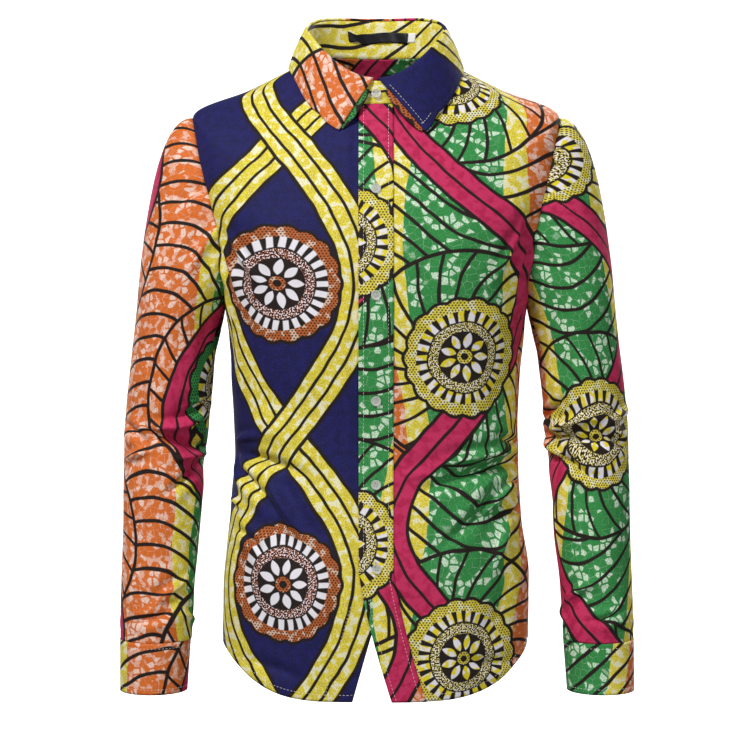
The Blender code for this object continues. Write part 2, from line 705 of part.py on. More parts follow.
def main():
    clear_scene()
    shirt = bpy.data.collections.new("african_print_shirt")
    bpy.context.scene.collection.children.link(shirt)

    navy = (0.012, 0.011, 0.10)
    green = (0.05, 0.30, 0.08)
    yellow = (0.78, 0.66, 0.03)
    orange = (0.74, 0.20, 0.03)
    magenta = (0.58, 0.03, 0.12)
    black = (0.02, 0.02, 0.022)
    white = (0.85, 0.85, 0.83)
    clear = (0.70, 0.70, 0.66)
    cotton = 0.78

    left, left_normals = front_panel(left_start, LEFT_FRONT_FOLDS, stays_out)
    right, _ = front_panel(right_start, RIGHT_FRONT_FOLDS, under_left_front)
    shell(shirt, "front_left", left, CLOTH_WALL, green, cotton)
    shell(shirt, "front_right", mirrored(right), CLOTH_WALL, navy, cotton)
    back = back_panel()
    shell(shirt, "back", back, CLOTH_WALL, yellow, cotton)

    lift = (CLOTH_WALL + BAND_WALL) / 2.0 + SEAM_GAP
    band = left[:, :3] + left_normals[:, :3] * lift
    shell(shirt, "placket_band", band, BAND_WALL, yellow, cotton)
    front_buttons(shirt, band, clear)

    left_loop = armhole_loop(left, back)
    right_loop = armhole_loop(right, mirrored(back)[:, ::-1])
    left_arm = sleeve(left_loop, LEFT_ARM_LEAN, LEFT_SLEEVE_FOLDS)
    right_arm = mirrored(sleeve(right_loop, RIGHT_ARM_LEAN, RIGHT_SLEEVE_FOLDS))
    shell(shirt, "sleeve_left", left_arm, CLOTH_WALL, orange, cotton, closed=True)
    shell(shirt, "sleeve_right", right_arm, CLOTH_WALL, orange, cotton, closed=True)
    left_cuff = cuff(LEFT_ARM_LEAN)
    right_cuff = mirrored(cuff(RIGHT_ARM_LEAN))
    shell(shirt, "cuff_left", left_cuff, CUFF_WALL, magenta, cotton)
    shell(shirt, "cuff_right", right_cuff, CUFF_WALL, magenta, cotton)
    cuff_button(shirt, "button_cuff_left", left_cuff, 1.0, clear)
    cuff_button(shirt, "button_cuff_right", right_cuff, -1.0, clear)

    stand = collar_stand(neck_edge(left, back, right))
    shell(shirt, "collar_stand", stand, COLLAR_WALL, yellow, cotton)
    shell(shirt, "collar_leaf", collar_leaf(), COLLAR_WALL, orange, cotton)
    stand_button(shirt, stand, clear)

    under = COLLAR_WALL / 2.0 + SEAM_GAP + TRIM_WALL / 2.0
    label = strip_inside_stand(stand, LABEL_START, LABEL_END, LABEL_WIDTH, under)
    shell(shirt, "neck_label", label, TRIM_WALL, black, 0.4)
    tab_start = LABEL_END + SEAM_GAP
    tab = strip_inside_stand(stand, tab_start, tab_start + TAB_LENGTH, TAB_WIDTH, under)
    shell(shirt, "size_tab", tab, TRIM_WALL, white, 0.6)


main()
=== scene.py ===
"""Looks of the men's long-sleeved shirt: fine cloth, print, stitches and buttons over its frame.

Form sizes are in millimetres, as in the part's source, and are turned into metres when a mesh is
made. X runs to the wearer's left and the front faces -Y.
"""

import math
from collections import namedtuple

import bmesh
import bpy
import numpy as np
from mathutils import Matrix, Vector


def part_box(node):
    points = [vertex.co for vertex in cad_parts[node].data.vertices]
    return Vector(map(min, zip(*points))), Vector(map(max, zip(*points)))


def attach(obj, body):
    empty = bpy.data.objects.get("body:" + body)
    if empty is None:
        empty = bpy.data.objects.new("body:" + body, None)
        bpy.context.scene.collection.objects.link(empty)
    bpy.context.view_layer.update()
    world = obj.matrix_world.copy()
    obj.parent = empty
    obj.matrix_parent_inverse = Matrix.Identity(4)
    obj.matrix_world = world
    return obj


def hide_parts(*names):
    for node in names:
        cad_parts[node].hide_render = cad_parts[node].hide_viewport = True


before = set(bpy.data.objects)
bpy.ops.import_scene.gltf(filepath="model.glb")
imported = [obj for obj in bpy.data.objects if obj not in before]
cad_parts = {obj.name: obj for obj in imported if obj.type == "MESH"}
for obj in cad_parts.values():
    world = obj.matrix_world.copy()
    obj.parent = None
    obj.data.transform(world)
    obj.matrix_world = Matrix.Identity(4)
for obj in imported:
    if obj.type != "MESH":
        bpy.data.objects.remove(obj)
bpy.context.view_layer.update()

MM = 0.001

# Walls and gaps
CLOTH_WALL = 0.9
BAND_WALL = 0.9
COLLAR_WALL = 1.5
CUFF_WALL = 1.6
TRIM_WALL = 0.5
SEAM_GAP = 0.3
LAYER_GAP = 0.5
CAD_CLOTH_WALL = 1.2

# Front fastening, as in the frame
BAND_WIDTH = 38.0
UNDERLAP = 16.0
UNDER_REACH = 31.0
UNDER_SLOPE = 9.0
LAST_BUTTON_Z = -563.0
LEFT_SWING = 36.0
LEFT_SWING_POWER = 1.3
RIGHT_SWING = 42.0
HEM_FRONT_Z = -710.0

# Fine mesh steps
HEM_TO_HIP_STEPS = 34
HIP_TO_WAIST_STEPS = 76
WAIST_TO_UNDERARM_STEPS = 74
ARMHOLE_STEPS = 70
SHOULDER_STEPS = 44
FRONT_COLUMNS = 92
BACK_COLUMNS = 151
CAP_STEPS = 34
ARM_STEPS = 170
BAND_COLUMNS = 15
LEAF_COLUMNS = 150
LEAF_ROWS = 26
STAND_ROWS = 11
CUFF_COLUMNS = 130
CUFF_ROWS = 20

RING_SAMPLES = 761
ARMHOLE_FRONT_CUT = 23.0
ARMHOLE_BACK_CUT = 21.0

TorsoRow = namedtuple(
    "TorsoRow",
    "name z_front z_side z_back half_width front_depth back_depth corner front_rise back_rise",
)
TORSO = (
    TorsoRow("hem", HEM_FRONT_Z, -659, -676, 173.5, 114, 112, 0.82, 1.3, 1.2),
    TorsoRow("hip", -600, -590, -590, 173.5, 117, 114, 0.82, 1.0, 1.0),
    TorsoRow("low_waist", -510, -510, -510, 164.5, 110, 103, 0.82, 1.0, 1.0),
    TorsoRow("waist", -440, -440, -440, 160.5, 105, 96, 0.82, 1.0, 1.0),
    TorsoRow("ribs", -350, -350, -350, 163.5, 113, 108, 0.82, 1.0, 1.0),
    TorsoRow("underarm", -286, -274, -278, 171, 120, 117, 0.82, 1.0, 1.0),
    TorsoRow("chest", -240, -216, -223, 182, 121, 121, 0.80, 1.0, 1.0),
    TorsoRow("mid_armhole", -190, -151, -160, 197, 116, 121, 0.80, 1.0, 1.0),
    TorsoRow("upper_armhole", -155, -102, -105, 205, 108, 112, 0.82, 1.0, 1.0),
    TorsoRow("shoulder", -125, -66, -54, 207, 99, 98, 0.84, 1.0, 1.0),
    TorsoRow("mid_shoulder", -90, -33, -20, 140, 86, 82, 0.92, 1.0, 1.0),
    TorsoRow("neck", -56, 0, 8, 74, 70, 66, 1.0, 1.0, 1.0),
)
HEM, HIP, WAIST, UNDERARM, SHOULDER, NECK = 0, 1, 3, 5, 9, 11

SleeveRow = namedtuple("SleeveRow", "name z centre_x centre_y half_width half_depth")
SLEEVE = (
    SleeveRow("biceps", -304, 227.8, 8, 47.4, 65),
    SleeveRow("upper_arm", -355, 233.8, 9, 47.3, 61),
    SleeveRow("elbow", -410, 239.8, 9, 47.2, 56),
    SleeveRow("below_elbow", -460, 242.4, 4, 45.4, 53),
    SleeveRow("forearm", -530, 245.2, -5, 43.0, 48),
    SleeveRow("lower_arm", -600, 248.6, -14, 41.0, 44),
    SleeveRow("wrist", -655, 250.8, -20, 39.4, 40),
    SleeveRow("cuff_edge", -713, 252.6, -25, 37.4, 37),
)
WRIST = 6
LEFT_ARM_LEAN = 2.6
RIGHT_ARM_LEAN = 0.0

LEAVES_TOP = (0.60, 0.0, 0.07)
LEAVES_FRONT = (0.50, -0.20, -0.42)
LEAVES_UNDER = (0.30, 0.0, -0.60)
LEAVES_BACK = (0.50, 0.20, -0.42)
ARRIVE_PULL = 0.65
ARMHOLE_TUCK = 0.1

CUFF_START = 290.0
CUFF_OVERLAP = 32.0
CUFF_CLIMB = 45.0
CUFF_RADIUS = 39.0

STAND_TOP = TorsoRow("stand_top", -30, 31, 52, 78, 69, 68, 0.99, 1.0, 0.62)
STAND_V_POWER = 2.0
STAND_STEP_IN = 24.0
STAND_STEP_SLOPE = 12.0
STAND_LIFT = 0.4
STAND_HEIGHT = 42.0

LeafEdge = namedtuple("LeafEdge", "name along below angle")
LEFT_LEAF_EDGE = (
    LeafEdge("point", 0.0, 71.0, 21.0),
    LeafEdge("front_edge", 0.14, 36.0, 40.0),
    LeafEdge("collar_bone", 0.33, 28.0, 66.0),
    LeafEdge("shoulder", 0.5, 26.0, 88.0),
    LeafEdge("back_side", 0.78, 14.0, 135.0),
    LeafEdge("centre_back", 1.0, 10.0, 180.0),
)
RIGHT_LEAF_EDGE = (
    LeafEdge("point", 0.0, 65.0, 16.0),
    LeafEdge("front_edge", 0.14, 33.0, 38.0),
    LeafEdge("collar_bone", 0.33, 24.0, 66.0),
    LeafEdge("shoulder", 0.5, 26.0, 88.0),
    LeafEdge("back_side", 0.78, 14.0, 135.0),
    LeafEdge("centre_back", 1.0, 10.0, 180.0),
)
LEAF_RISE = 3.0
LEAF_ROLL = 3.2
LEAF_CREST = 0.45
LEAF_SHOULDER_DROP = 1.8
LEAF_CLEAR = 2.2
LEAF_BULGE = 1.8
LEAF_FRONT_GAP = 3.0
LEAF_PARTS = (0.12, 0.33, 0.67, 1.0)

# Folds: distance round the cloth from the centre line, height, slope of the crease in degrees,
# length, half-width, depth, and how far the crease bows from a straight line
Fold = namedtuple("Fold", "name around z slope length width depth bow")
RIGHT_FRONT_FOLDS = (
    Fold("waist_upper", 122, -413, 12, 90, 17, 3.5, 0),
    Fold("waist_main", 118, -458, 28, 150, 19, -6.0, 0),
    Fold("waist_lower", 120, -512, 38, 140, 20, -5.0, 0),
    Fold("armhole_drag", 172, -215, 60, 130, 18, -4.0, 0),
    Fold("hem_wave", 70, -640, 88, 160, 26, 3.5, 0),
    Fold("pinch_high", 158, -424, -8, 70, 5.5, 2.2, 5),
    Fold("pinch_middle", 136, -448, 9, 150, 7.0, -3.4, 9),
    Fold("pinch_short", 172, -463, 34, 58, 4.5, -2.2, -3),
    Fold("pinch_deep", 146, -476, 37, 128, 7.5, -3.6, 6),
    Fold("pinch_fan", 104, -500, 58, 120, 8.5, 2.4, -9),
    Fold("pinch_tail", 152, -534, 24, 76, 6.0, -2.0, 8),
    Fold("side_short", 182, -497, 12, 44, 4.5, 2.0, 3),
    Fold("rib_soft", 176, -350, 80, 110, 11, 1.8, 6),
    Fold("rib_soft_inner", 140, -330, 74, 140, 13, -1.4, 8),
    Fold("drag_fine", 186, -238, 66, 84, 5.0, -2.2, 4),
    Fold("drag_fine_inner", 158, -222, 52, 110, 6.5, 1.8, -6),
    Fold("drag_fine_low", 196, -282, 78, 60, 4.5, -1.7, 3),
    Fold("chest_soft", 110, -190, 30, 120, 14, 1.2, 8),
    Fold("hip_soft", 150, -590, 66, 110, 13, -1.8, -8),
    Fold("hip_soft_inner", 66, -600, 96, 120, 14, 1.6, 6),
    Fold("hem_roll", 120, -676, 10, 110, 8, -1.4, 4),
)
LEFT_FRONT_FOLDS = (
    Fold("waist_upper", 135, -430, 8, 80, 17, 3.5, 0),
    Fold("waist_main", 112, -455, 16, 170, 19, -6.0, 0),
    Fold("waist_lower", 130, -510, 30, 110, 18, -4.5, 0),
    Fold("armhole_drag", 170, -212, 66, 120, 18, -4.0, 0),
    Fold("hem_wave", 95, -640, 92, 150, 26, 3.5, 0),
    Fold("pinch_high", 164, -428, -14, 78, 5.0, -2.2, -5),
    Fold("pinch_middle", 124, -443, 6, 164, 7.0, 3.0, 6),
    Fold("pinch_trough", 116, -462, 13, 176, 7.0, -3.6, 8),
    Fold("pinch_short", 174, -474, -4, 52, 4.5, -2.0, 3),
    Fold("pinch_low", 152, -489, 33, 92, 6.0, 2.6, -5),
    Fold("pinch_fan", 112, -508, 46, 128, 8.0, -2.4, -9),
    Fold("pinch_tail", 148, -542, 60, 96, 8.0, 1.9, 6),
    Fold("side_short_low", 182, -508, 14, 48, 4.5, -1.9, 2),
    Fold("placket_pull", 52, -462, 4, 64, 8, 1.1, 2),
    Fold("rib_soft", 174, -345, 98, 120, 11, 1.8, -6),
    Fold("rib_soft_inner", 138, -360, 104, 140, 13, -1.3, -8),
    Fold("drag_fine", 184, -236, 70, 86, 5.0, -2.2, 4),
    Fold("drag_fine_inner", 156, -218, 58, 112, 6.5, 1.8, -6),
    Fold("drag_fine_low", 196, -278, 82, 62, 4.5, -1.7, 3),
    Fold("chest_soft", 105, -200, 34, 130, 14, 1.1, 8),
    Fold("hip_soft", 150, -600, 70, 120, 13, -1.8, -8),
    Fold("hip_soft_inner", 70, -590, 84, 120, 14, 1.5, -6),
    Fold("hem_roll", 126, -672, -6, 110, 8, -1.4, -4),
)
BACK_FOLDS = (
    Fold("waist_right", -120, -455, -22, 160, 19, -6.0, 0),
    Fold("waist_left", 118, -448, 20, 150, 19, -6.0, 0),
    Fold("hip_right", -95, -520, -34, 130, 20, -4.5, 0),
    Fold("hip_left", 100, -510, 38, 120, 20, -4.5, 0),
    Fold("blade_right", -95, -230, -74, 190, 24, -4.5, 0),
    Fold("blade_left", 98, -225, 72, 180, 24, -4.5, 0),
    Fold("hem_wave", 10, -620, 90, 170, 30, 4.0, 0),
    Fold("waist_right_fine", -140, -440, -14, 120, 5.5, 2.4, -4),
    Fold("waist_right_fine_low", -134, -474, -30, 120, 5.5, -2.4, -5),
    Fold("waist_left_fine", 142, -434, 10, 110, 5.5, -2.4, 4),
    Fold("waist_left_fine_low", 132, -466, 28, 130, 5.5, 2.4, 5),
    Fold("small_of_back", -18, -452, -6, 150, 9, -2.0, -8),
    Fold("small_of_back_low", 24, -486, 10, 150, 9, 2.0, 8),
    Fold("side_short_right", -178, -458, -8, 56, 4.5, 2.0, 2),
    Fold("side_short_left", 180, -450, 8, 56, 4.5, -2.0, 2),
    Fold("blade_right_fine", -130, -250, -66, 120, 7, 1.8, 6),
    Fold("blade_left_fine", 132, -246, 68, 120, 7, 1.8, -6),
    Fold("seat_right", -70, -590, -76, 130, 13, -1.9, -6),
    Fold("seat_left", 82, -586, 80, 130, 13, -1.9, 6),
)
LEFT_SLEEVE_FOLDS = (
    Fold("elbow_upper", 118, -392, -14, 90, 15, -4.5, 0),
    Fold("elbow_main", 96, -422, 12, 120, 16, -5.5, 0),
    Fold("elbow_lower", 124, -450, 24, 90, 15, -4.0, 0),
    Fold("wrist", 70, -612, -24, 80, 15, -3.0, 0),
    Fold("elbow_pinch", 138, -397, -28, 74, 4.5, -2.6, -4),
    Fold("elbow_ridge", 104, -409, -15, 96, 6.0, 3.2, 7),
    Fold("elbow_trough", 112, -427, 5, 132, 6.5, -3.8, 6),
    Fold("elbow_ridge_low", 132, -441, 21, 78, 5.5, 3.0, -4),
    Fold("elbow_pinch_low", 100, -458, 34, 84, 6.0, -2.6, -5),
    Fold("elbow_outer", 44, -430, 24, 70, 6.5, -2.8, 4),
    Fold("elbow_outer_high", 34, -402, -20, 60, 5.5, 2.4, -3),
    Fold("elbow_back", 210, -416, -12, 110, 7.0, -3.2, 6),
    Fold("elbow_back_low", 236, -440, 14, 100, 7.0, 3.0, -6),
    Fold("upper_soft", 90, -340, 70, 110, 12, 1.6, 8),
    Fold("upper_soft_inner", 140, -330, 100, 90, 10, -1.5, 6),
    Fold("under_soft", 168, -300, 62, 80, 6.0, -2.2, 4),
    Fold("lower_soft", 84, -520, 78, 120, 11, -1.6, 6),
    Fold("lower_soft_side", 128, -500, 108, 120, 10, 1.6, -6),
    Fold("wrist_fine", 96, -600, -34, 78, 6.0, 2.2, 5),
    Fold("wrist_fine_low", 58, -628, -14, 70, 5.0, -2.0, -4),
    Fold("wrist_fine_side", 122, -628, 26, 48, 4.5, 1.4, 3),
    Fold("cuff_tuck_front", 262, -634, 84, 40, 4.0, -0.9, 0),
    Fold("cuff_tuck_back", 244, -636, 96, 44, 4.0, -0.8, 0),
    Fold("cap_front", 70, -150, 60, 90, 8, -1.5, 5),
    Fold("cap_front_low", 104, -210, 74, 96, 8, 1.6, 5),
)
RIGHT_SLEEVE_FOLDS = (
    Fold("elbow_upper", 112, -398, 10, 100, 15, -4.5, 0),
    Fold("elbow_main", 100, -430, -12, 110, 16, -5.5, 0),
    Fold("elbow_lower", 126, -462, 18, 90, 15, -4.0, 0),
    Fold("wrist", 80, -606, 24, 80, 15, -3.0, 0),
    Fold("elbow_pinch", 132, -391, 20, 84, 4.5, -2.6, 4),
    Fold("elbow_ridge", 106, -412, 10, 116, 6.0, 3.4, -7),
    Fold("elbow_trough", 100, -431, -14, 104, 6.5, -3.8, -5),
    Fold("elbow_ridge_low", 128, -447, 2, 84, 5.0, 2.8, 4),
    Fold("elbow_pinch_low", 110, -472, 30, 88, 6.0, -2.4, 6),
    Fold("elbow_outer", 40, -420, -26, 70, 6.5, -2.8, 4),
    Fold("elbow_outer_low", 46, -446, 18, 62, 5.5, 2.4, 3),
    Fold("elbow_back", 214, -420, 12, 110, 7.0, -3.2, 6),
    Fold("elbow_back_low", 238, -446, -14, 100, 7.0, 3.0, -6),
    Fold("upper_soft", 86, -345, 104, 110, 12, 1.6, -8),
    Fold("upper_soft_inner", 136, -326, 80, 90, 10, -1.5, 6),
    Fold("under_soft", 168, -298, 66, 80, 6.0, -2.2, 4),
    Fold("lower_soft", 80, -525, 100, 120, 11, -1.6, -6),
    Fold("lower_soft_side", 126, -505, 74, 120, 10, 1.6, 6),
    Fold("wrist_fine", 88, -598, 32, 78, 6.0, 2.2, 5),
    Fold("wrist_fine_low", 66, -628, 16, 66, 5.0, -2.0, -4),
    Fold("wrist_fine_side", 116, -630, -24, 50, 4.5, 1.4, 3),
    Fold("cuff_tuck_front", 262, -634, 84, 40, 4.0, -0.9, 0),
    Fold("cuff_tuck_back", 244, -636, 96, 44, 4.0, -0.8, 0),
    Fold("cap_front", 66, -148, 66, 90, 8, -1.5, -5),
    Fold("cap_front_low", 100, -214, 78, 96, 8, 1.6, 5),
)
BANK_DISTANCE = 1.7
BANK_DEPTH = 0.45

# A crease falls away steeply below and gently above, and takes cloth in from both sides
STEEP_SIDE = 0.45
FINE_WIDTH = 9.0
FINE_GAIN = 2.4
TAKEN_IN = 1.9
TAKEN_REACH = 3.2
SETTLED_ROWS = 16.0
OUTER_FADE = 25.0
LEFT_SEED, RIGHT_SEED, LEFT_ARM_SEED, BACK_SEED, RIGHT_ARM_SEED = 1.0, 2.0, 3.0, 4.0, 5.0
SEAM_CALM_FROM = 0.55
SEAM_CALM_REACH = 30.0
FLIP = np.array([-1.0, 1.0])

# Trim and sewing
Label = namedtuple("Label", "node width columns ripple slot")
LABELS = (
    Label("neck_label", 12.0, 49, 0.9, "label_satin"),
    Label("size_tab", 11.0, 9, 0.0, "tab_cotton"),
)
LABEL_ROWS = 9
LABEL_MIDDLE = 0.55
LABEL_SEARCH = 55
POINT_STITCH = ((61.0, -65.0), (49.5, -79.0))
HEM_STITCH = 8.0
FACING_STITCH = 32.0
HOLE_HALF = 8.0
HOLE_SIDE = 0.3
CUFF_LAP_COLUMNS = 30
BACK_NAVY_FROM = 62.0

# Sewing
STITCH_LIFT = 0.05
BAND_STITCH = 5.5
COLLAR_STITCH = 5.0
COLLAR_STITCH_FROM_ROW = 4
COLLAR_STITCH_FROM_COLUMN = 3
CUFF_STITCH = 6.0
HOLE_THREAD_LIFT = 0.1

# The button, as radius and height, and its holes
BUTTON_PROFILE = (
    (0.0, 1.0), (2.9, 1.0), (3.3, 1.15), (3.8, 1.75), (4.5, 2.15), (5.1, 2.05), (5.5, 1.5),
    (5.5, 0.9), (5.0, 0.35), (4.0, 0.05), (0.0, 0.0),
)
BUTTON_SIDES = 40
BUTTON_SINK = 1.2
HOLE_OFFSET = 1.25
HOLE_RADIUS = 0.72
THREAD_RADIUS = 0.25
THREAD_BESIDE = 0.28
THREAD_HEIGHT = 1.12
COLLAR_BUTTON_FACES = (0.0, -0.93, 0.36)

# The edges of the under-collar that show past the leaf
STRIP_FROM_ROW = 6
STRIP_ROWS = 7
LEFT_STRIP_WIDTH = 8.2
RIGHT_STRIP_WIDTH = 7.6

# The studio, in metres, degrees and watts
FLOOR_Z = -1.02
WALL_RADIUS = 3.0
WALL_TOP_Z = 3.0
WALL_COLUMNS = 64
COVE_RADIUS = 0.8
COVE_STEPS = 10
PAPER_GLOW = 0.9
SURROUND_GLOW = 0.2
CAMERA_PLACE = (-0.00114, -2.3, -0.2485)
CAMERA_TILT = 2.7
LIT_POINT = (0.0, 0.0, -0.4)
Light = namedtuple("Light", "name place size watts")
LIGHTS = (
    Light("key", (-1.4, -2.2, 1.9), (0.8, 0.8), 98.0),
    Light("fill", (1.3, -2.4, -0.3), (0.9, 1.2), 15.0),
    Light("back_key", (1.6, 2.2, 1.7), (1.0, 1.0), 84.0),
    Light("back_fill", (-1.7, 2.1, -0.2), (0.9, 1.2), 17.0),
)

# The print: sizes on the flat cloth, in millimetres
COLUMN_PITCH = 250.0
ROW_PITCH = 330.0
BAND_SWAY = 84.0
BAND_HALF = 21.0
LINE_WIDTH = 4.0
SOFT = 0.8
FINE_SOFT = 0.6
FAN_RADIUS = 116.0
RAYS = 24
YELLOW_FROM = 50.0
ORANGE_FROM = 74.0
FLOW_WAVE = 0.0251
FLOW_SWAY = 30.0
FLOW_LEAN = 0.18
FLOW_GAP = 13.0
PLAIN_GAP = 12.0
RIBBON_HALF = 16.0
RIBBON_SWAY = 78.0
RIBBON_LENGTH = ROW_PITCH * 1.5
ZONE_RAMP = 16.0
RIGHT_LEAF_FAN = (-45.0, -44.0)
FAN_OF_RIGHT_LEAF = 53.0

# How fine the patterns of noise and chips are
WOBBLE_SCALE = 0.03
MARBLE_SCALE = 0.11
PUCKER_SCALE = 0.12
CHIP_SCALE = 0.13
SPECK_SCALE = 0.62
THREAD_SCALE = 1.6

# A rosette, from its rim inwards
ROSETTE_RADIUS = 62.0
SCALLOP_DEPTH = 3.0
RIM_WIDTH = 11.0
DOT_ROW_GAP = 2.7
DOT_GAP = 3.5
DOT_RADIUS = 0.95
KEYS = 26.0
KEYS_FROM = 39.5
KEY_HALF = 3.1
SPECKLED_RADIUS = 33.0
SPECKLED_HALF = 4.8
PETALS = 9.0
PETAL_MIDDLE = 18.5
PETAL_TAPER = 0.115
PETAL_HALF = 4.3
PETAL_END = 27.0
EYE_RADIUS = 8.0
PUPIL_RADIUS = 4.0

# Where each piece is cut from the cloth and how it is held. The zone is the part of the cloth:
# 0 the navy one, 1 the mixed one with green, 2 plain yellow, 3 plain orange
Cut = namedtuple("Cut", "name node across up zone wall slot held rests_on")
CUTS = (
    Cut(
        "front_left_cloth", "front_left", -96.0, 330.0, 1.0, CLOTH_WALL, "print_green",
        "hung", ("back_cloth",),
    ),
    Cut(
        "front_right_cloth", "front_right", 98.0, 250.0, 0.0, CLOTH_WALL, "print_navy",
        "hung", ("back_cloth",),
    ),
    Cut("back_cloth", "back", 40.0, 120.0, None, CLOTH_WALL, "print_yellow", "hung", ("collar_stand",)),
    Cut(
        "placket_cloth", "placket_band", 36.0, 205.0, 1.0, BAND_WALL, "print_yellow",
        "laid", ("front_left_cloth",),
    ),
    Cut(
        "sleeve_left_cloth", "sleeve_left", -75.0, 90.0, 1.0, CLOTH_WALL, "print_orange",
        "hung", ("front_left_cloth", "back_cloth"),
    ),
    Cut(
        "sleeve_right_cloth", "sleeve_right", 70.0, 210.0, 1.0, CLOTH_WALL, "print_orange",
        "hung", ("front_right_cloth", "back_cloth"),
    ),
    Cut(
        "cuff_left_cloth", "cuff_left", 95.0, 690.0, 1.0, CUFF_WALL, "print_magenta",
        "hung", ("sleeve_left_cloth",),
    ),
    Cut(
        "cuff_right_cloth", "cuff_right", 10.0, 560.0, 1.0, CUFF_WALL, "print_magenta",
        "hung", ("sleeve_right_cloth",),
    ),
    Cut(
        "collar_stand_cloth", "collar_stand", -155.0, 300.0, 2.0, COLLAR_WALL, "print_yellow",
        "stretched", ("front_left_cloth", "front_right_cloth", "back_cloth"),
    ),
    Cut(
        "collar_leaf_cloth", "collar_leaf", 110.0, 60.0, None, COLLAR_WALL, "print_orange",
        "folded", ("collar_stand_cloth",),
    ),
)


def smooth_step(x):
    x = np.clip(x, 0.0, 1.0)
    return x * x * (3.0 - 2.0 * x)


def through_table(stations, values, at):
    """A smooth curve through a table's rows that never overshoots between two of them."""
    stations = np.asarray(stations, float)
    values = np.asarray(values, float)
    step = np.diff(stations)[:, None]
    slope = np.diff(values, axis=0) / step
    tangent = np.zeros_like(values)
    tangent[0] = slope[0]
    tangent[-1] = slope[-1]
    same = slope[:-1] * slope[1:] > 0.0
    total = np.where(same, slope[:-1] + slope[1:], 1.0)
    tangent[1:-1] = np.where(same, 2.0 * slope[:-1] * slope[1:] / total, 0.0)
    at = np.clip(np.atleast_1d(np.asarray(at, float)), stations[0], stations[-1])
    row = np.clip(np.searchsorted(stations, at, side="right") - 1, 0, len(step) - 1)
    t = ((at - stations[row]) / step[row, 0])[:, None]
    h = step[row]
    return (
        values[row] * (2 * t**3 - 3 * t**2 + 1)
        + tangent[row] * h * (t**3 - 2 * t**2 + t)
        + values[row + 1] * (3 * t**2 - 2 * t**3)
        + tangent[row + 1] * h * (t**3 - t**2)
    )


def torso_stations():
    height = [(row.z_front + row.z_side + row.z_back) / 3.0 for row in TORSO]
    width = [row.half_width for row in TORSO]
    return np.concatenate([[0.0], np.cumsum(np.hypot(np.diff(height), np.diff(width)))])


STATIONS = torso_stations()
TORSO_VALUES = [row[1:] for row in TORSO]


def ring_point(sizes, angle):
    """A point of a body ring. The angle runs from the centre front towards the wearer's left."""
    z_front, z_side, z_back, half_width, front_depth, back_depth, corner = sizes[:7]
    front_rise, back_rise = sizes[7:]
    cosine = np.cos(angle)
    sine = np.sin(angle)
    front = cosine > 0.0
    depth = np.where(front, front_depth, back_depth)
    end_z = np.where(front, z_front, z_back)
    rise = np.where(front, front_rise, back_rise)
    x = half_width * np.sign(sine) * np.abs(sine) ** corner
    y = -depth * np.sign(cosine) * np.abs(cosine) ** corner
    z = z_side + (end_z - z_side) * smooth_step(np.abs(cosine) ** rise)
    return np.stack([x, y, z], axis=-1)


def torso_sizes(station):
    return through_table(STATIONS, TORSO_VALUES, station)[0]


def torso_at(station, centre, distances):
    """Points at distances round the cloth from the centre front (0) or the centre back (180)."""
    sizes = torso_sizes(station)
    turn = np.radians(np.linspace(-95.0, 95.0, RING_SAMPLES))
    sense = 1.0 if centre == 0 else -1.0
    ring = ring_point(sizes, math.radians(centre) + sense * turn)
    lengths = np.concatenate([[0.0], np.cumsum(np.linalg.norm(np.diff(ring, axis=0), axis=1))])
    lengths -= np.interp(0.0, turn, lengths)
    angle = np.interp(distances, lengths, turn)
    return ring_point(sizes, math.radians(centre) + sense * angle)


def distance_to(station, centre, angle_degrees):
    """How far round the cloth from the centre line an angle lies."""
    sizes = torso_sizes(station)
    turn = np.radians(np.linspace(0.0, angle_degrees, 300))
    sense = 1.0 if centre == 0 else -1.0
    ring = ring_point(sizes, math.radians(centre) + sense * turn)
    return float(np.linalg.norm(np.diff(ring, axis=0), axis=1).sum())


def panel_rows():
    """(station, share of the armhole's cut) of each row of a panel, from the hem to the neck."""
    rows = []
    legs = (
        (HEM, HIP, HEM_TO_HIP_STEPS),
        (HIP, WAIST, HIP_TO_WAIST_STEPS),
        (WAIST, UNDERARM, WAIST_TO_UNDERARM_STEPS),
    )
    for start, end, steps in legs:
        for step in range(steps):
            rows.append((STATIONS[start] + (STATIONS[end] - STATIONS[start]) * step / steps, 0.0))
    for step in range(ARMHOLE_STEPS + 1):
        turn = math.pi * step / ARMHOLE_STEPS
        share = (1.0 - math.cos(turn)) / 2.0
        station = STATIONS[UNDERARM] + (STATIONS[SHOULDER] - STATIONS[UNDERARM]) * share
        rows.append((station, math.sin(turn)))
    for step in range(1, SHOULDER_STEPS + 1):
        share = step / SHOULDER_STEPS
        rows.append((STATIONS[SHOULDER] + (STATIONS[NECK] - STATIONS[SHOULDER]) * share, 0.0))
    return rows


PANEL_ROWS = panel_rows()
WAIST_ROW = HEM_TO_HIP_STEPS + HIP_TO_WAIST_STEPS
FIRST_ARMHOLE_ROW = WAIST_ROW + WAIST_TO_UNDERARM_STEPS


def below_last_button(z):
    return np.clip((LAST_BUTTON_Z - z) / (LAST_BUTTON_Z - HEM_FRONT_Z), 0.0, 1.0)


def edge_angle(centre, share):
    cut = ARMHOLE_FRONT_CUT if centre == 0 else ARMHOLE_BACK_CUT
    return 90.0 - cut * share


def grid_normals(grid, closed=False):
    """Unit normals of a grid of points, rows by columns."""
    across = np.gradient(grid, axis=1)
    if closed:
        across = (np.roll(grid, -1, axis=1) - np.roll(grid, 1, axis=1)) / 2.0
    along = np.gradient(grid, axis=0)
    normal = np.cross(across, along)
    return normal / np.maximum(np.linalg.norm(normal, axis=2, keepdims=True), 1e-9)


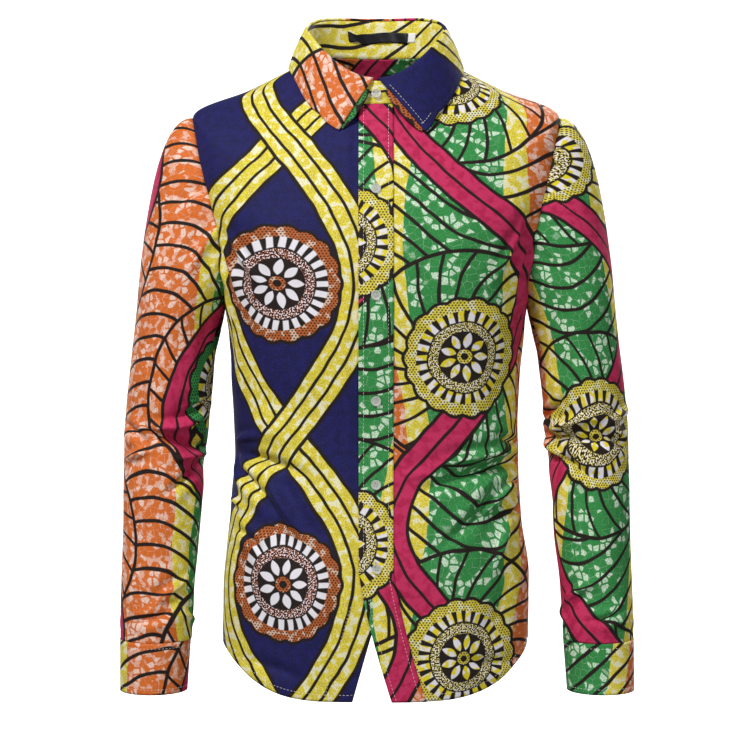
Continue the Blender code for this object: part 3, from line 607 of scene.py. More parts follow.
def fold_height(folds, around, z):
    """How far the folds move the cloth along its normal: a crease with a soft bank on each side."""
    height = np.zeros_like(around)
    for fold in folds:
        across, taper = crease_frame(fold, around, z)
        steep = STEEP_SIDE if fold.width < FINE_WIDTH else 1.0
        shape = np.exp(-((across / np.where(across < 0.0, steep, 1.0)) ** 2))
        for side in (-1.0, 1.0):
            bank = across - side * BANK_DISTANCE
            shape = shape - BANK_DEPTH * np.exp(-(bank**2))
        height += crease_depth(fold) * taper * shape
    return height


def crease_frame(fold, around, z):
    """The distance across a crease in its own half-widths, and how far it has tapered."""
    slope = math.radians(fold.slope)
    along = (around - fold.around) * math.cos(slope) + (z - fold.z) * math.sin(slope)
    across = (z - fold.z) * math.cos(slope) - (around - fold.around) * math.sin(slope)
    across = across + fold.bow * (2.0 * along / fold.length) ** 2
    taper = np.clip(1.0 - (2.0 * along / fold.length) ** 2, 0.0, 1.0) ** 2
    return across / fold.width, taper


def crease_depth(fold):
    return fold.depth * (FINE_GAIN if fold.width < FINE_WIDTH else 1.0)


def with_cloth_taken_in(flat, folds, around, z):
    """Flat coordinates that count the cloth a crease takes up, so that the print closes over it."""
    moved = flat.copy()
    for fold in folds:
        across, taper = crease_frame(fold, around, z)
        taken = TAKEN_IN * abs(crease_depth(fold)) * taper / 2.0
        taken = taken * np.tanh(1.6 * across) * np.exp(-((across / TAKEN_REACH) ** 2))
        moved[..., 0] -= taken * math.sin(math.radians(fold.slope))
        moved[..., 1] += taken * math.cos(math.radians(fold.slope))
    return moved


def soft_unevenness(around, z, seed):
    """Slow, low swells that keep a large stretch of cloth from lying perfectly true."""
    swell = np.sin(around / 31.0 + z / 47.0 + seed) * np.sin(z / 37.0 - around / 59.0 + 1.7 * seed)
    ripple = np.sin(around / 13.0 - z / 17.0 + 2.3 * seed) * np.sin(z / 23.0 + around / 29.0)
    return 1.3 * swell + 0.45 * ripple


def cloth_coordinates(grid, normals, start_row, around):
    """Flat coordinates of each point: distance across and up the cloth, integrated from one row."""
    level = np.cross(np.array([0.0, 0.0, 1.0]), normals)
    level /= np.maximum(np.linalg.norm(level, axis=2, keepdims=True), 1e-9)
    steep = np.cross(normals, level)
    edge = np.diff(grid, axis=0)
    mid_level = (level[1:] + level[:-1]) / 2.0
    mid_steep = (steep[1:] + steep[:-1]) / 2.0
    across = np.zeros(grid.shape[:2])
    up = np.zeros(grid.shape[:2])
    across[1:] = np.cumsum((edge * mid_level).sum(axis=2), axis=0)
    up[1:] = np.cumsum((edge * mid_steep).sum(axis=2), axis=0)
    across = across - across[start_row] + around[start_row]
    up = up - up[start_row] + grid[start_row, :, 2]
    return np.stack([across, up], axis=-1)


def at_shoulder_seam(distances):
    """How far each point's folds and swells are let down, so that both panels meet at the shoulder."""
    rows = np.arange(len(distances))[:, None] - FIRST_ARMHOLE_ROW - ARMHOLE_STEPS * SEAM_CALM_FROM
    calm = smooth_step(rows / (ARMHOLE_STEPS * (1.0 - SEAM_CALM_FROM)))
    inset = np.abs(distances).max(axis=1, keepdims=True) - np.abs(distances)
    return 1.0 - calm * (1.0 - smooth_step(inset / SEAM_CALM_REACH))


def front_panel(start_at, folds, inward, seed):
    """The wearer's left front, or the right one before it is mirrored: points, normals, flat sizes."""
    rows = []
    distances = []
    for station, share in PANEL_ROWS:
        start = start_at(torso_sizes(station)[0])
        end = distance_to(station, 0, edge_angle(0, share)) - SEAM_GAP / 2.0
        across = np.linspace(start, end, FRONT_COLUMNS)
        rows.append(torso_at(station, 0, across))
        distances.append(across)
    grid = np.array(rows)
    distances = np.array(distances)
    normals = grid_normals(grid)
    z = grid[:, :, 2]
    flat = cloth_coordinates(grid, normals, WAIST_ROW, distances)
    flat = with_cloth_taken_in(flat, folds, distances, z)
    fade = smooth_step((distances - BAND_WIDTH) / SEAM_CALM_REACH)
    height = fold_height(folds, distances, z) + inward(distances)
    height = height + soft_unevenness(distances, z, seed) * fade
    height = height * at_shoulder_seam(distances)
    grid = grid + normals * height[:, :, None]
    return grid, grid_normals(grid), flat, distances


def left_start(z):
    return -BAND_WIDTH / 2.0 + LEFT_SWING * below_last_button(z) ** LEFT_SWING_POWER


def right_start(z):
    return -UNDERLAP + RIGHT_SWING * below_last_button(z)


def under_left_front(distances):
    reach = smooth_step((UNDER_REACH - distances) / UNDER_SLOPE)
    return -(CAD_CLOTH_WALL + LAYER_GAP) * reach


def stays_out(distances):
    return np.zeros_like(distances)


def back_panel():
    rows = []
    distances = []
    for station, share in PANEL_ROWS:
        end = distance_to(station, 180, edge_angle(180, share)) - SEAM_GAP / 2.0
        across = np.linspace(-end, end, BACK_COLUMNS)
        rows.append(torso_at(station, 180, across))
        distances.append(across)
    grid = np.array(rows)
    distances = np.array(distances)
    normals = -grid_normals(grid)
    z = grid[:, :, 2]
    flat = cloth_coordinates(grid, normals, WAIST_ROW, -distances) * FLIP
    flat = with_cloth_taken_in(flat, BACK_FOLDS, distances, z) * FLIP
    height = fold_height(BACK_FOLDS, distances, z) + soft_unevenness(distances, z, BACK_SEED)
    height = height * at_shoulder_seam(distances)
    grid = grid + normals * height[:, :, None]
    return grid, -grid_normals(grid), flat


def armhole_loop(front, back):
    """Points of a left armhole, from the edges of its two panels: shoulder, front, underarm, back."""
    rows = slice(FIRST_ARMHOLE_ROW, FIRST_ARMHOLE_ROW + ARMHOLE_STEPS + 1)
    down_front = front[rows, -1][::-1].copy()
    up_back = back[rows, -1].copy()
    down_front[0] = (down_front[0] + up_back[-1]) / 2.0
    down_front[-1] = (down_front[-1] + up_back[0]) / 2.0
    return np.concatenate([down_front, up_back[1:-1]])


def loop_angles(loop):
    """The angle round the sleeve at which each armhole point arrives: 0 outside, 90 front."""
    half = ARMHOLE_STEPS
    closed = np.concatenate([loop, loop[:1]])
    lengths = np.concatenate([[0.0], np.cumsum(np.linalg.norm(np.diff(closed, axis=0), axis=1))])
    front = 180.0 * lengths[: half + 1] / lengths[half]
    back = 180.0 + 180.0 * (lengths[half:-1] - lengths[half]) / (lengths[-1] - lengths[half])
    return np.radians(np.concatenate([front, back[1:]]))


SLEEVE_DEPTHS = [-row.z for row in SLEEVE]
SLEEVE_VALUES = [row[2:] for row in SLEEVE]


def sleeve_ring(z, angles, lean, outward=0.0):
    centre_x, centre_y, half_width, half_depth = through_table(SLEEVE_DEPTHS, SLEEVE_VALUES, -z)[0]
    centre_x = centre_x + lean * (SLEEVE[0].z - z) / (SLEEVE[0].z - SLEEVE[-1].z)
    x = centre_x + (half_width + outward) * np.cos(angles)
    y = centre_y - (half_depth + outward) * np.sin(angles)
    return np.stack([x, y, np.full_like(angles, z)], axis=-1)


def leaving_directions(angles):
    top = np.clip(np.cos(angles), 0.0, 1.0) ** 2
    under = np.clip(-np.cos(angles), 0.0, 1.0) ** 2
    front = np.where(np.sin(angles) > 0.0, np.sin(angles) ** 2, 0.0)
    back = np.where(np.sin(angles) < 0.0, np.sin(angles) ** 2, 0.0)
    return (
        top[:, None] * np.array(LEAVES_TOP)
        + under[:, None] * np.array(LEAVES_UNDER)
        + front[:, None] * np.array(LEAVES_FRONT)
        + back[:, None] * np.array(LEAVES_BACK)
    )


def sleeve(loop, lean, folds, seed):
    """A left sleeve: curves from the armhole to the biceps ring, then rings to the wrist.

    Its columns start and end at the underarm seam, where the flat cloth opens.
    """
    angles = loop_angles(loop)
    leaves = leaving_directions(angles)
    start = loop + leaves / np.linalg.norm(leaves, axis=1, keepdims=True) * ARMHOLE_TUCK
    biceps_z = SLEEVE[0].z
    end = sleeve_ring(biceps_z, angles, lean)
    arm = sleeve_ring(biceps_z - 20.0, angles, lean) - end
    arrives = arm / np.linalg.norm(arm, axis=1, keepdims=True)
    reach = np.linalg.norm(end - start, axis=1, keepdims=True)
    rows = []
    for step in range(CAP_STEPS):
        t = step / CAP_STEPS
        rows.append(
            start * (2 * t**3 - 3 * t**2 + 1)
            + leaves * reach * (t**3 - 2 * t**2 + t)
            + end * (3 * t**2 - 2 * t**3)
            + arrives * reach * ARRIVE_PULL * (t**3 - t**2)
        )
    for z in np.linspace(biceps_z, SLEEVE[WRIST].z, ARM_STEPS + 1):
        rows.append(sleeve_ring(z, angles, lean))
    grid = np.array(rows)
    sizes = through_table(SLEEVE_DEPTHS, SLEEVE_VALUES, -grid[:, :, 2].ravel())
    radius = ((sizes[:, 2] + sizes[:, 3]) / 2.0).reshape(grid.shape[:2])
    around = radius * angles[None, :]
    normals = grid_normals(grid, closed=True)
    z = grid[:, :, 2]
    from_armhole = np.clip(np.arange(len(grid)) / SETTLED_ROWS, 0.0, 1.0)[:, None]
    from_outer = np.clip(np.minimum(around, math.tau * radius - around) / OUTER_FADE, 0.0, 1.0)
    height = fold_height(folds, around, z)
    height = height + soft_unevenness(around, z, seed) * from_armhole * from_outer

    up = np.zeros(around.shape)
    up[1:] = -np.cumsum(np.linalg.norm(np.diff(grid, axis=0), axis=2), axis=0)
    up = up - up[CAP_STEPS] + biceps_z
    turned = np.concatenate([angles[ARMHOLE_STEPS:] - math.tau, angles[: ARMHOLE_STEPS + 1]])
    folded = with_cloth_taken_in(np.stack([np.zeros_like(up), up], axis=-1), folds, around, z)
    folded = np.concatenate([folded[:, ARMHOLE_STEPS:], folded[:, : ARMHOLE_STEPS + 1]], axis=1)
    folded[:, :, 0] += radius[:, :1] * turned[None, :]
    grid = grid + normals * height[:, :, None]
    return np.roll(grid, -ARMHOLE_STEPS, axis=1), folded


def cuff(lean):
    """A left cuff: a strip once round the wrist, whose outer end climbs over the inner one."""
    turns = np.linspace(0.0, 360.0 + CUFF_OVERLAP, CUFF_COLUMNS + 1)
    angles = np.radians(CUFF_START + turns)
    climb = (CUFF_WALL + LAYER_GAP + 0.2) * smooth_step((turns - 360.0 + CUFF_CLIMB) / CUFF_CLIMB)
    top = SLEEVE[WRIST].z - SEAM_GAP / 2.0
    rows = [sleeve_ring(z, angles, lean, climb) for z in np.linspace(top, SLEEVE[-1].z, CUFF_ROWS)]
    grid = np.array(rows)
    flat = np.zeros(grid.shape[:2] + (2,))
    flat[:, :, 0] = np.radians(turns)[None, :] * CUFF_RADIUS
    flat[:, :, 1] = grid[:, :, 2]
    return grid, flat


def mirrored(grid):
    return grid * np.array([-1.0, 1.0, 1.0])


def neck_edge(left, back, right):
    """The top edge of the three panels, from the left front's edge round to the right one's."""
    left_top = left[-1]
    back_top = back[-1][::-1]
    right_top = mirrored(right)[-1][::-1]
    left_shoulder = (left_top[-1:] + back_top[:1]) / 2.0
    right_shoulder = (back_top[-1:] + right_top[:1]) / 2.0
    return np.concatenate(
        [left_top[:-1], left_shoulder, back_top[1:-1], right_shoulder, right_top[1:]]
    )


def stand_inward(angles):
    past = np.degrees(angles) - (360.0 - STAND_STEP_IN)
    return (COLLAR_WALL + LAYER_GAP) * smooth_step(past / STAND_STEP_SLOPE)


def stand_top(angles):
    """The top edge of the stand: level curves round the back, and down to a V at the front."""
    ring = ring_point(STAND_TOP[1:], angles)
    cosine = np.cos(angles)
    fall = (STAND_TOP.z_side - STAND_TOP.z_front) * np.abs(cosine) ** STAND_V_POWER
    ring[:, 2] = np.where(cosine > 0.0, STAND_TOP.z_side - fall, ring[:, 2])
    return ring


def collar_stand(edge):
    """The stand rises from the neck edge to its own top ring."""
    angles = np.unwrap(np.arctan2(edge[:, 0], -edge[:, 1]))
    out = np.stack([np.sin(angles), -np.cos(angles), np.zeros_like(angles)], axis=-1)
    top = stand_top(angles) - out * stand_inward(angles)[:, None]
    base = edge + np.array([0.0, 0.0, STAND_LIFT])
    grid = np.array([base + (top - base) * share for share in np.linspace(0.0, 1.0, STAND_ROWS)])
    steps = np.linalg.norm(np.diff(edge, axis=0), axis=1)
    flat = np.zeros(grid.shape[:2] + (2,))
    flat[:, :, 0] = np.concatenate([[0.0], np.cumsum(steps)])[None, :]
    flat[:, :, 1] = np.linspace(0.0, STAND_HEIGHT, STAND_ROWS)[:, None]
    return grid, flat


def body_at(below, angle):
    """A point on the body so far below the neck seam, and the way out from the cloth there."""
    station = STATIONS[NECK] - below
    here = ring_point(torso_sizes(station), np.radians(angle))
    beside = ring_point(torso_sizes(station), np.radians(angle + 1.0))
    above = ring_point(torso_sizes(station + 1.0), np.radians(angle))
    normal = np.cross(beside - here, above - here)
    return here, normal / np.linalg.norm(normal)


def leaf_half(edge_rows):
    """Half of the leaf, from the centre front round the wearer's left to the centre back."""
    along = [row.along for row in edge_rows]
    values = [row[2:] for row in edge_rows]
    first = math.asin(LEAF_FRONT_GAP / STAND_TOP.front_depth)
    columns = []
    for share in np.linspace(0.0, 1.0, LEAF_COLUMNS // 2 + 1):
        angle = np.array([first + (math.pi - first) * share])
        top = stand_top(angle)[0]
        out = np.array([math.sin(angle[0]), -math.cos(angle[0]), 0.0])
        below, edge_turn = through_table(along, values, share)[0]
        edge, normal = body_at(below, edge_turn)
        edge = edge + normal * (LEAF_CLEAR + COLLAR_WALL / 2.0)
        up = np.array([0.0, 0.0, 1.0])
        start = top + up * (SEAM_GAP + COLLAR_WALL / 2.0)
        crest = top + up * LEAF_RISE + out * LEAF_ROLL * LEAF_CREST
        shoulder = top + up * (LEAF_RISE - LEAF_SHOULDER_DROP) + out * LEAF_ROLL
        column = [start, crest, shoulder]
        for part in LEAF_PARTS:
            swell = LEAF_BULGE * math.sin(math.pi * part)
            column.append(shoulder + (edge - shoulder) * part + normal * swell)
        columns.append(smooth_line(np.array(column), LEAF_ROWS))
    return np.array(columns).transpose(1, 0, 2)


def smooth_line(points, count):
    """A Catmull-Rom curve through points, with evenly spaced ones along it."""
    steps = 12
    padded = np.concatenate([2 * points[:1] - points[1:2], points, 2 * points[-1:] - points[-2:-1]])
    fine = []
    for i in range(len(points) - 1):
        a, b, c, d = padded[i : i + 4]
        for step in range(steps):
            t = step / steps
            fine.append(
                0.5
                * (
                    2 * b
                    + (c - a) * t
                    + (2 * a - 5 * b + 4 * c - d) * t**2
                    + (3 * b - a - 3 * c + d) * t**3
                )
            )
    fine.append(points[-1])
    fine = np.array(fine)
    lengths = np.concatenate([[0.0], np.cumsum(np.linalg.norm(np.diff(fine, axis=0), axis=1))])
    wanted = np.linspace(0.0, lengths[-1], count)
    return np.stack([np.interp(wanted, lengths, fine[:, k]) for k in range(3)], axis=-1)


def collar_leaf():
    left = leaf_half(LEFT_LEAF_EDGE)
    right = mirrored(leaf_half(RIGHT_LEAF_EDGE))[:, ::-1]
    grid = np.concatenate([left, right[:, 1:]], axis=1)
    flat = np.zeros(grid.shape[:2] + (2,))
    middle = grid[grid.shape[0] // 2]
    flat[:, 1:, 0] = np.cumsum(np.linalg.norm(np.diff(middle, axis=0), axis=1))[None, :]
    flat[1:, :, 1] = -np.cumsum(np.linalg.norm(np.diff(grid, axis=0), axis=2), axis=0)
    return grid, flat


def ramp(distance):
    """A change of cloth part as a slope that is half way at the border, so that the border is sharp."""
    return np.clip(0.5 + distance / ZONE_RAMP, 0.0, 1.0)


def leaf_zone(leaf, flat):
    """Navy on the wearer's left, mixed round the back, yellow and then orange on the right."""
    along = flat[:, :, 0]
    whole = along.max()
    fan_x, fan_z = RIGHT_LEAF_FAN
    from_fan = FAN_OF_RIGHT_LEAF - np.hypot(leaf[:, :, 0] - fan_x, leaf[:, :, 2] - fan_z)
    on_right_front = along > 0.7 * whole
    zone = ramp(along - 0.36 * whole) + ramp(along - 0.6 * whole)
    return zone + ramp(from_fan) * on_right_front


def under_collar_strip(name, leaf, edge, inside, widest, rim_centre, zone, cotton):
    """The edge of the under-collar that shows past one front edge of the leaf."""
    rows = np.arange(STRIP_FROM_ROW, leaf.shape[0] - 1)
    line = leaf[rows, edge]
    away = line - leaf[rows, inside]
    away /= np.linalg.norm(away, axis=1, keepdims=True)
    along = np.gradient(line, axis=0)
    along /= np.linalg.norm(along, axis=1, keepdims=True)
    inward = np.cross(away, along) if edge == 0 else np.cross(along, away)
    inward *= np.sign((inward * np.array([0.0, 1.0, 0.0])).sum(axis=1, keepdims=True))
    share = np.linspace(0.0, 1.0, len(rows))
    width = widest * np.sin(math.pi * np.clip(share * 0.88 + 0.08, 0.0, 1.0)) ** 0.5
    under = COLLAR_WALL / 2.0 + SEAM_GAP + TRIM_WALL / 2.0
    grid = []
    for part in np.linspace(-0.5, 1.0, STRIP_ROWS):
        sink = under * (1.0 + 0.5 * max(part, 0.0))
        grid.append(line + away * (width * part)[:, None] + inward * sink)
    grid = np.array(grid)
    lengths = np.concatenate([[0.0], np.cumsum(np.linalg.norm(np.diff(line, axis=0), axis=1))])
    radius = ROSETTE_RADIUS - 8.0 + np.linspace(0.0, 1.5, STRIP_ROWS)[:, None] * widest * 0.6
    turn = 0.5 + lengths[None, :] / ROSETTE_RADIUS
    flat = np.stack([radius * np.cos(turn), radius * np.sin(turn)], axis=-1) + np.array(rim_centre)
    facing = grid_normals(grid)
    outward = 1.0 if facing[:, :, 1].mean() < 0.0 else -1.0
    return cloth_piece(name, grid, flat, zone, TRIM_WALL, cotton, None, outward=outward)


def squares(index):
    """The faces of a grid of point numbers, as four numbers each."""
    corners = [index[:-1, :-1], index[:-1, 1:], index[1:, 1:], index[1:, :-1]]
    return np.stack(corners, axis=-1).reshape(-1, 4)


def link(name, mesh, *materials):
    for made in materials:
        mesh.materials.append(made)
    piece = bpy.data.objects.new(name, mesh)
    bpy.context.scene.collection.objects.link(piece)
    for face in mesh.polygons:
        face.use_smooth = True
    return piece


def declare_sheet(flat):
    """Measure the area that a piece was cut to on its flat coordinates; nothing more is done with it.
    """
    diagonal = flat[1:, 1:] - flat[:-1, :-1]
    other = flat[1:, :-1] - flat[:-1, 1:]
    area = np.abs(diagonal[..., 0] * other[..., 1] - diagonal[..., 1] * other[..., 0]).sum() / 2.0


def cloth_piece(name, grid, flat, zone, wall, made, node, closed=False, outward=1.0):
    """A closed shell on a grid of points, with its place on the flat cloth kept at each point.

    zone is the part of the cloth that it is cut from, as in CUTS. flat has one more column than
    the grid where the piece is closed, so that the print runs on unbroken up to the seam.
    """
    normals = grid_normals(grid, closed) * outward
    outer = grid + normals * wall / 2.0
    inner = grid - normals * wall / 2.0
    rows, columns = grid.shape[:2]
    count = rows * columns
    points = np.concatenate([outer.reshape(-1, 3), inner.reshape(-1, 3)])
    index = np.arange(count).reshape(rows, columns)
    if closed:
        index = np.concatenate([index, index[:, :1]], axis=1)
    place = np.arange(index.size).reshape(index.shape)

    def faces_of(ids, step):
        quads = squares(ids)
        if outward < 0.0:
            quads = quads[:, ::-1]
        faces = [quads, quads[:, ::-1] + step]
        border = [(ids[0], True), (ids[-1], False)]
        if not closed:
            border += [(ids[:, 0], False), (ids[:, -1], True)]
        for line, forward in border:
            rim = np.stack([line[1:], line[:-1], line[:-1] + step, line[1:] + step], axis=-1)
            if forward != (outward > 0.0):
                rim = rim[:, ::-1]
            faces.append(rim)
        return np.concatenate(faces)

    mesh = bpy.data.meshes.new(name)
    mesh.from_pydata((points * MM).tolist(), [], faces_of(index, count).tolist())
    mesh.update()
    zones = np.broadcast_to(zone, place.shape)
    cloth = np.concatenate([flat, zones[:, :, None]], axis=2).reshape(-1, 3)
    corners = faces_of(place, 0).ravel()
    layer = mesh.attributes.new("cloth", "FLOAT_VECTOR", "CORNER")
    layer.data.foreach_set("vector", cloth[corners].astype(np.float32).ravel())
    piece = link(name, mesh, made)
    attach(piece, "root")
    if node:
        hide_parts(node)
    return piece


class Field:
    """A number that varies over the cloth, made of Math nodes."""

    def __init__(self, tree, source):
        self.tree = tree
        self.source = source

    def made(self, operation, *others, clamp=False):
        node = self.tree.nodes.new("ShaderNodeMath")
        node.operation = operation
        node.use_clamp = clamp
        for socket, value in zip(node.inputs, (self,) + others):
            if isinstance(value, Field):
                self.tree.links.new(value.source, socket)
            else:
                socket.default_value = value
        return Field(self.tree, node.outputs[0])

    def from_number(self, operation, number):
        node = self.tree.nodes.new("ShaderNodeMath")
        node.operation = operation
        node.inputs[0].default_value = number
        self.tree.links.new(self.source, node.inputs[1])
        return Field(self.tree, node.outputs[0])

    def __add__(self, other):
        return self.made("ADD", other)

    def __mul__(self, other):
        return self.made("MULTIPLY", other)

    def __sub__(self, other):
        return self.made("SUBTRACT", other)

    def __rsub__(self, number):
        return self.from_number("SUBTRACT", number)

    def __truediv__(self, other):
        return self.made("DIVIDE", other)

    def sine(self):
        return self.made("SINE")

    def cosine(self):
        return self.made("COSINE")

    def size(self):
        return self.made("ABSOLUTE")

    def root(self):
        return self.made("SQRT")

    def nearest(self):
        return self.made("ROUND")

    def either(self, other):
        return self.made("MAXIMUM", other)

    def both(self, other):
        return self.made("MULTIPLY", other)

    def under(self, limit, soft):
        """1 where this is under the limit, 0 where it is over, with a soft edge."""
        return self.made("MULTIPLY_ADD", -1.0 / soft, 0.5 + limit / soft, clamp=True)

    def over(self, limit, soft):
        return self.made("MULTIPLY_ADD", 1.0 / soft, 0.5 - limit / soft, clamp=True)

    def is_under(self, other, soft):
        """The same as under, for a limit that varies too."""
        return (other - self).made("MULTIPLY_ADD", 1.0 / soft, 0.5, clamp=True)


def linear(hex_colour):
    """A linear colour from a hex one as it shows on screen."""
    values = [int(hex_colour[i : i + 2], 16) / 255.0 for i in (0, 2, 4)]
    bent = [v / 12.92 if v <= 0.04045 else ((v + 0.055) / 1.055) ** 2.4 for v in values]
    return (*bent, 1.0)


INK = linear("1e130e")
NAVY = linear("19195c")
NAVY_DEEP = linear("10103a")
YELLOW = linear("ead722")
OLIVE = linear("b3a31c")
CREAM = linear("f3eec6")
ORANGE = linear("de7028")
BLUSH = linear("f7d3c2")
GREEN = linear("35934a")
PINE = linear("1f5c2c")
MINT = linear("d3efd0")
MAGENTA = linear("cb2e60")
ROSE = linear("b81c4e")
CHALK = linear("eeeaf0")
RUST = linear("b9622c")
SAND = linear("e3bfa6")


class Paint:
    """Colours laid over each other by masks, in a node tree."""

    def __init__(self, tree, colour):
        self.tree = tree
        self.colour = colour

    def over(self, mask, colour):
        node = self.tree.nodes.new("ShaderNodeMix")
        node.data_type = "RGBA"
        node.blend_type = "MIX"
        self.tree.links.new(mask.source, node.inputs[0])
        for socket, value in ((node.inputs[6], self.colour), (node.inputs[7], colour)):
            if isinstance(value, tuple):
                socket.default_value = value
            else:
                self.tree.links.new(value, socket)
        self.colour = node.outputs[2]
        return self


def texture(tree, kind, vector, output, **settings):
    node = tree.nodes.new(kind)
    for name, value in settings.items():
        if isinstance(value, str):
            setattr(node, name, value)
        else:
            node.inputs[name].default_value = value
    tree.links.new(vector, node.inputs["Vector"])
    return node.outputs[output]


def noise(tree, vector, scale, detail, output="Fac", **settings):
    """Smooth noise on the flat cloth."""
    settings.update(noise_dimensions="2D", Scale=scale, Detail=detail)
    return texture(tree, "ShaderNodeTexNoise", vector, output, **settings)


def chip_pattern(tree, vector, output, feature):
    """Irregular chips of about 8 mm."""
    return Field(
        tree,
        texture(
            tree, "ShaderNodeTexVoronoi", vector, output, voronoi_dimensions="2D", feature=feature,
            Scale=CHIP_SCALE,
        ),
    )


def wedge(turn, radius, count):
    """The distance from the nearest of evenly spaced spokes, along the circle."""
    return (turn * (count / math.tau)).made("PINGPONG", 0.5) * radius * (math.tau / count)


def wax_print():
    """The print as a node group: flat cloth coordinates in, colour and a little relief out.

    The third coordinate names the part of the cloth: 0 navy, 1 the mixed part with green,
    2 plain yellow, 3 plain orange.
    """
    tree = bpy.data.node_groups.new("wax_print", "ShaderNodeTree")
    tree.interface.new_socket("Cloth", in_out="INPUT", socket_type="NodeSocketVector")
    tree.interface.new_socket("Color", in_out="OUTPUT", socket_type="NodeSocketColor")
    tree.interface.new_socket("Height", in_out="OUTPUT", socket_type="NodeSocketFloat")
    source = tree.nodes.new("NodeGroupInput")
    result = tree.nodes.new("NodeGroupOutput")
    split = tree.nodes.new("ShaderNodeSeparateXYZ")
    tree.links.new(source.outputs[0], split.inputs[0])

    wobble = noise(tree, source.outputs[0], WOBBLE_SCALE, 1.0, "Color")
    lean = tree.nodes.new("ShaderNodeVectorMath")
    lean.operation = "MULTIPLY_ADD"
    tree.links.new(wobble, lean.inputs[0])
    lean.inputs[1].default_value = (4.0, 4.0, 0.0)
    tree.links.new(source.outputs[0], lean.inputs[2])
    shaken = lean.outputs[0]
    moved = tree.nodes.new("ShaderNodeSeparateXYZ")
    tree.links.new(shaken, moved.inputs[0])

    across = Field(tree, moved.outputs[0])
    up = Field(tree, moved.outputs[1])
    zone = Field(tree, split.outputs[2])
    on_green = zone.over(0.5, 0.01)

    chip_edge = chip_pattern(tree, shaken, "Distance", "DISTANCE_TO_EDGE")
    chip_cell = chip_pattern(tree, shaken, "Color", "F1")
    marble = Field(tree, noise(tree, shaken, MARBLE_SCALE, 2.0, Roughness=0.45))
    speck = Field(tree, noise(tree, source.outputs[0], SPECK_SCALE, 0.0))

    chips = chip_cell.over(0.6, 0.03).both(chip_edge.over(0.13, 0.05))
    hairline = chip_edge.under(0.02, 0.02).both(chip_cell.under(0.42, 0.04))
    clouds = marble.over(0.575, 0.06)

    # Columns of rosettes, every second one half a pitch lower
    column = (across / COLUMN_PITCH).nearest()
    beside = across - column * COLUMN_PITCH
    drop = column.made("PINGPONG", 1.0) * 0.5
    height = up / ROW_PITCH + drop
    above = (height - height.nearest()) * ROW_PITCH
    radius = (beside * beside + above * above).root()
    turn = above.made("ARCTAN2", beside)

    # Navy part: two yellow bands that twist round each other between the rosettes
    phase = height * math.pi
    sway = phase.cosine() * BAND_SWAY
    slant = phase.sine() * (BAND_SWAY * math.pi / ROW_PITCH)
    stretch = (slant * slant + 1.0).root()
    first = ((beside - sway) / stretch).size()
    second = ((beside + sway) / stretch).size()
    navy = Paint(tree, NAVY).over(marble.over(0.5, 0.3) * 0.5, NAVY_DEEP)
    yellow = Paint(tree, YELLOW).over(marble.under(0.42, 0.14) * 0.3, OLIVE)
    yellow.over(clouds, CREAM).over(hairline * 0.35, CREAM)
    yellow.over(speck.under(0.4, 0.14) * 0.3, OLIVE).over(speck.over(0.6, 0.1) * 0.35, CREAM)
    for distance in (second, first):
        navy.over(distance.under(BAND_HALF + LINE_WIDTH / 2.0, SOFT), INK)
        stripes = distance.under(BAND_HALF - LINE_WIDTH / 2.0, SOFT)
        navy.over(stripes, yellow.colour)
        navy.over((distance - BAND_HALF * 0.36).size().under(LINE_WIDTH * 0.42, SOFT), INK)

    # Green part: colour changes down straight edges, with flowing lines over it
    edge = beside + (up * 0.0126).sine() * 16.0
    green = Paint(tree, GREEN).over(chips, MINT)
    green.over(hairline * 0.5, MINT).over(speck.under(0.42, 0.14) * 0.4, PINE)
    orange = Paint(tree, ORANGE).over(chips.either(clouds * 0.6), BLUSH)
    orange.over(hairline * 0.6, BLUSH).over(speck.under(0.4, 0.14) * 0.35, RUST)
    ground = Paint(tree, green.colour)
    ground.over(edge.size().over(YELLOW_FROM, FINE_SOFT), yellow.colour)
    ground.over(edge.size().over(ORANGE_FROM, FINE_SOFT), orange.colour)
    bend = across * FLOW_WAVE + 1.1
    flow = up + bend.sine() * FLOW_SWAY + across * FLOW_LEAN
    tilt = bend.cosine() * (FLOW_SWAY * FLOW_WAVE) + FLOW_LEAN
    flow_line = flow.made("PINGPONG", FLOW_GAP) / (tilt * tilt + 1.0).root()
    rays = wedge(turn + radius * 0.005, radius, RAYS)
    fan = radius.under(FAN_RADIUS, FINE_SOFT)
    lines = flow_line.under(LINE_WIDTH * 0.5, SOFT).both(1.0 - fan)
    lines = lines.either(rays.under(LINE_WIDTH * 0.5, SOFT).both(fan))
    lines = lines.either((radius - FAN_RADIUS).size().under(LINE_WIDTH * 0.55, SOFT))
    ground.over(lines, INK)

    # A magenta ribbon that wanders down the green part
    swing = up * (math.tau / RIBBON_LENGTH) + 0.8
    ribbon_slant = swing.cosine() * (RIBBON_SWAY * math.tau / RIBBON_LENGTH)
    ribbon_stretch = (ribbon_slant * ribbon_slant + 1.0).root()
    ribbon = ((beside - swing.sine() * RIBBON_SWAY) / ribbon_stretch).size()
    magenta = Paint(tree, MAGENTA).over(marble.over(0.55, 0.2), ROSE)
    ground.over(ribbon.under(RIBBON_HALF + LINE_WIDTH, SOFT), INK)
    ground.over(ribbon.under(RIBBON_HALF, SOFT), magenta.colour)
    ground.over(ribbon.under(LINE_WIDTH * 0.4, SOFT), INK)

    base = Paint(tree, navy.colour).over(on_green, ground.colour)

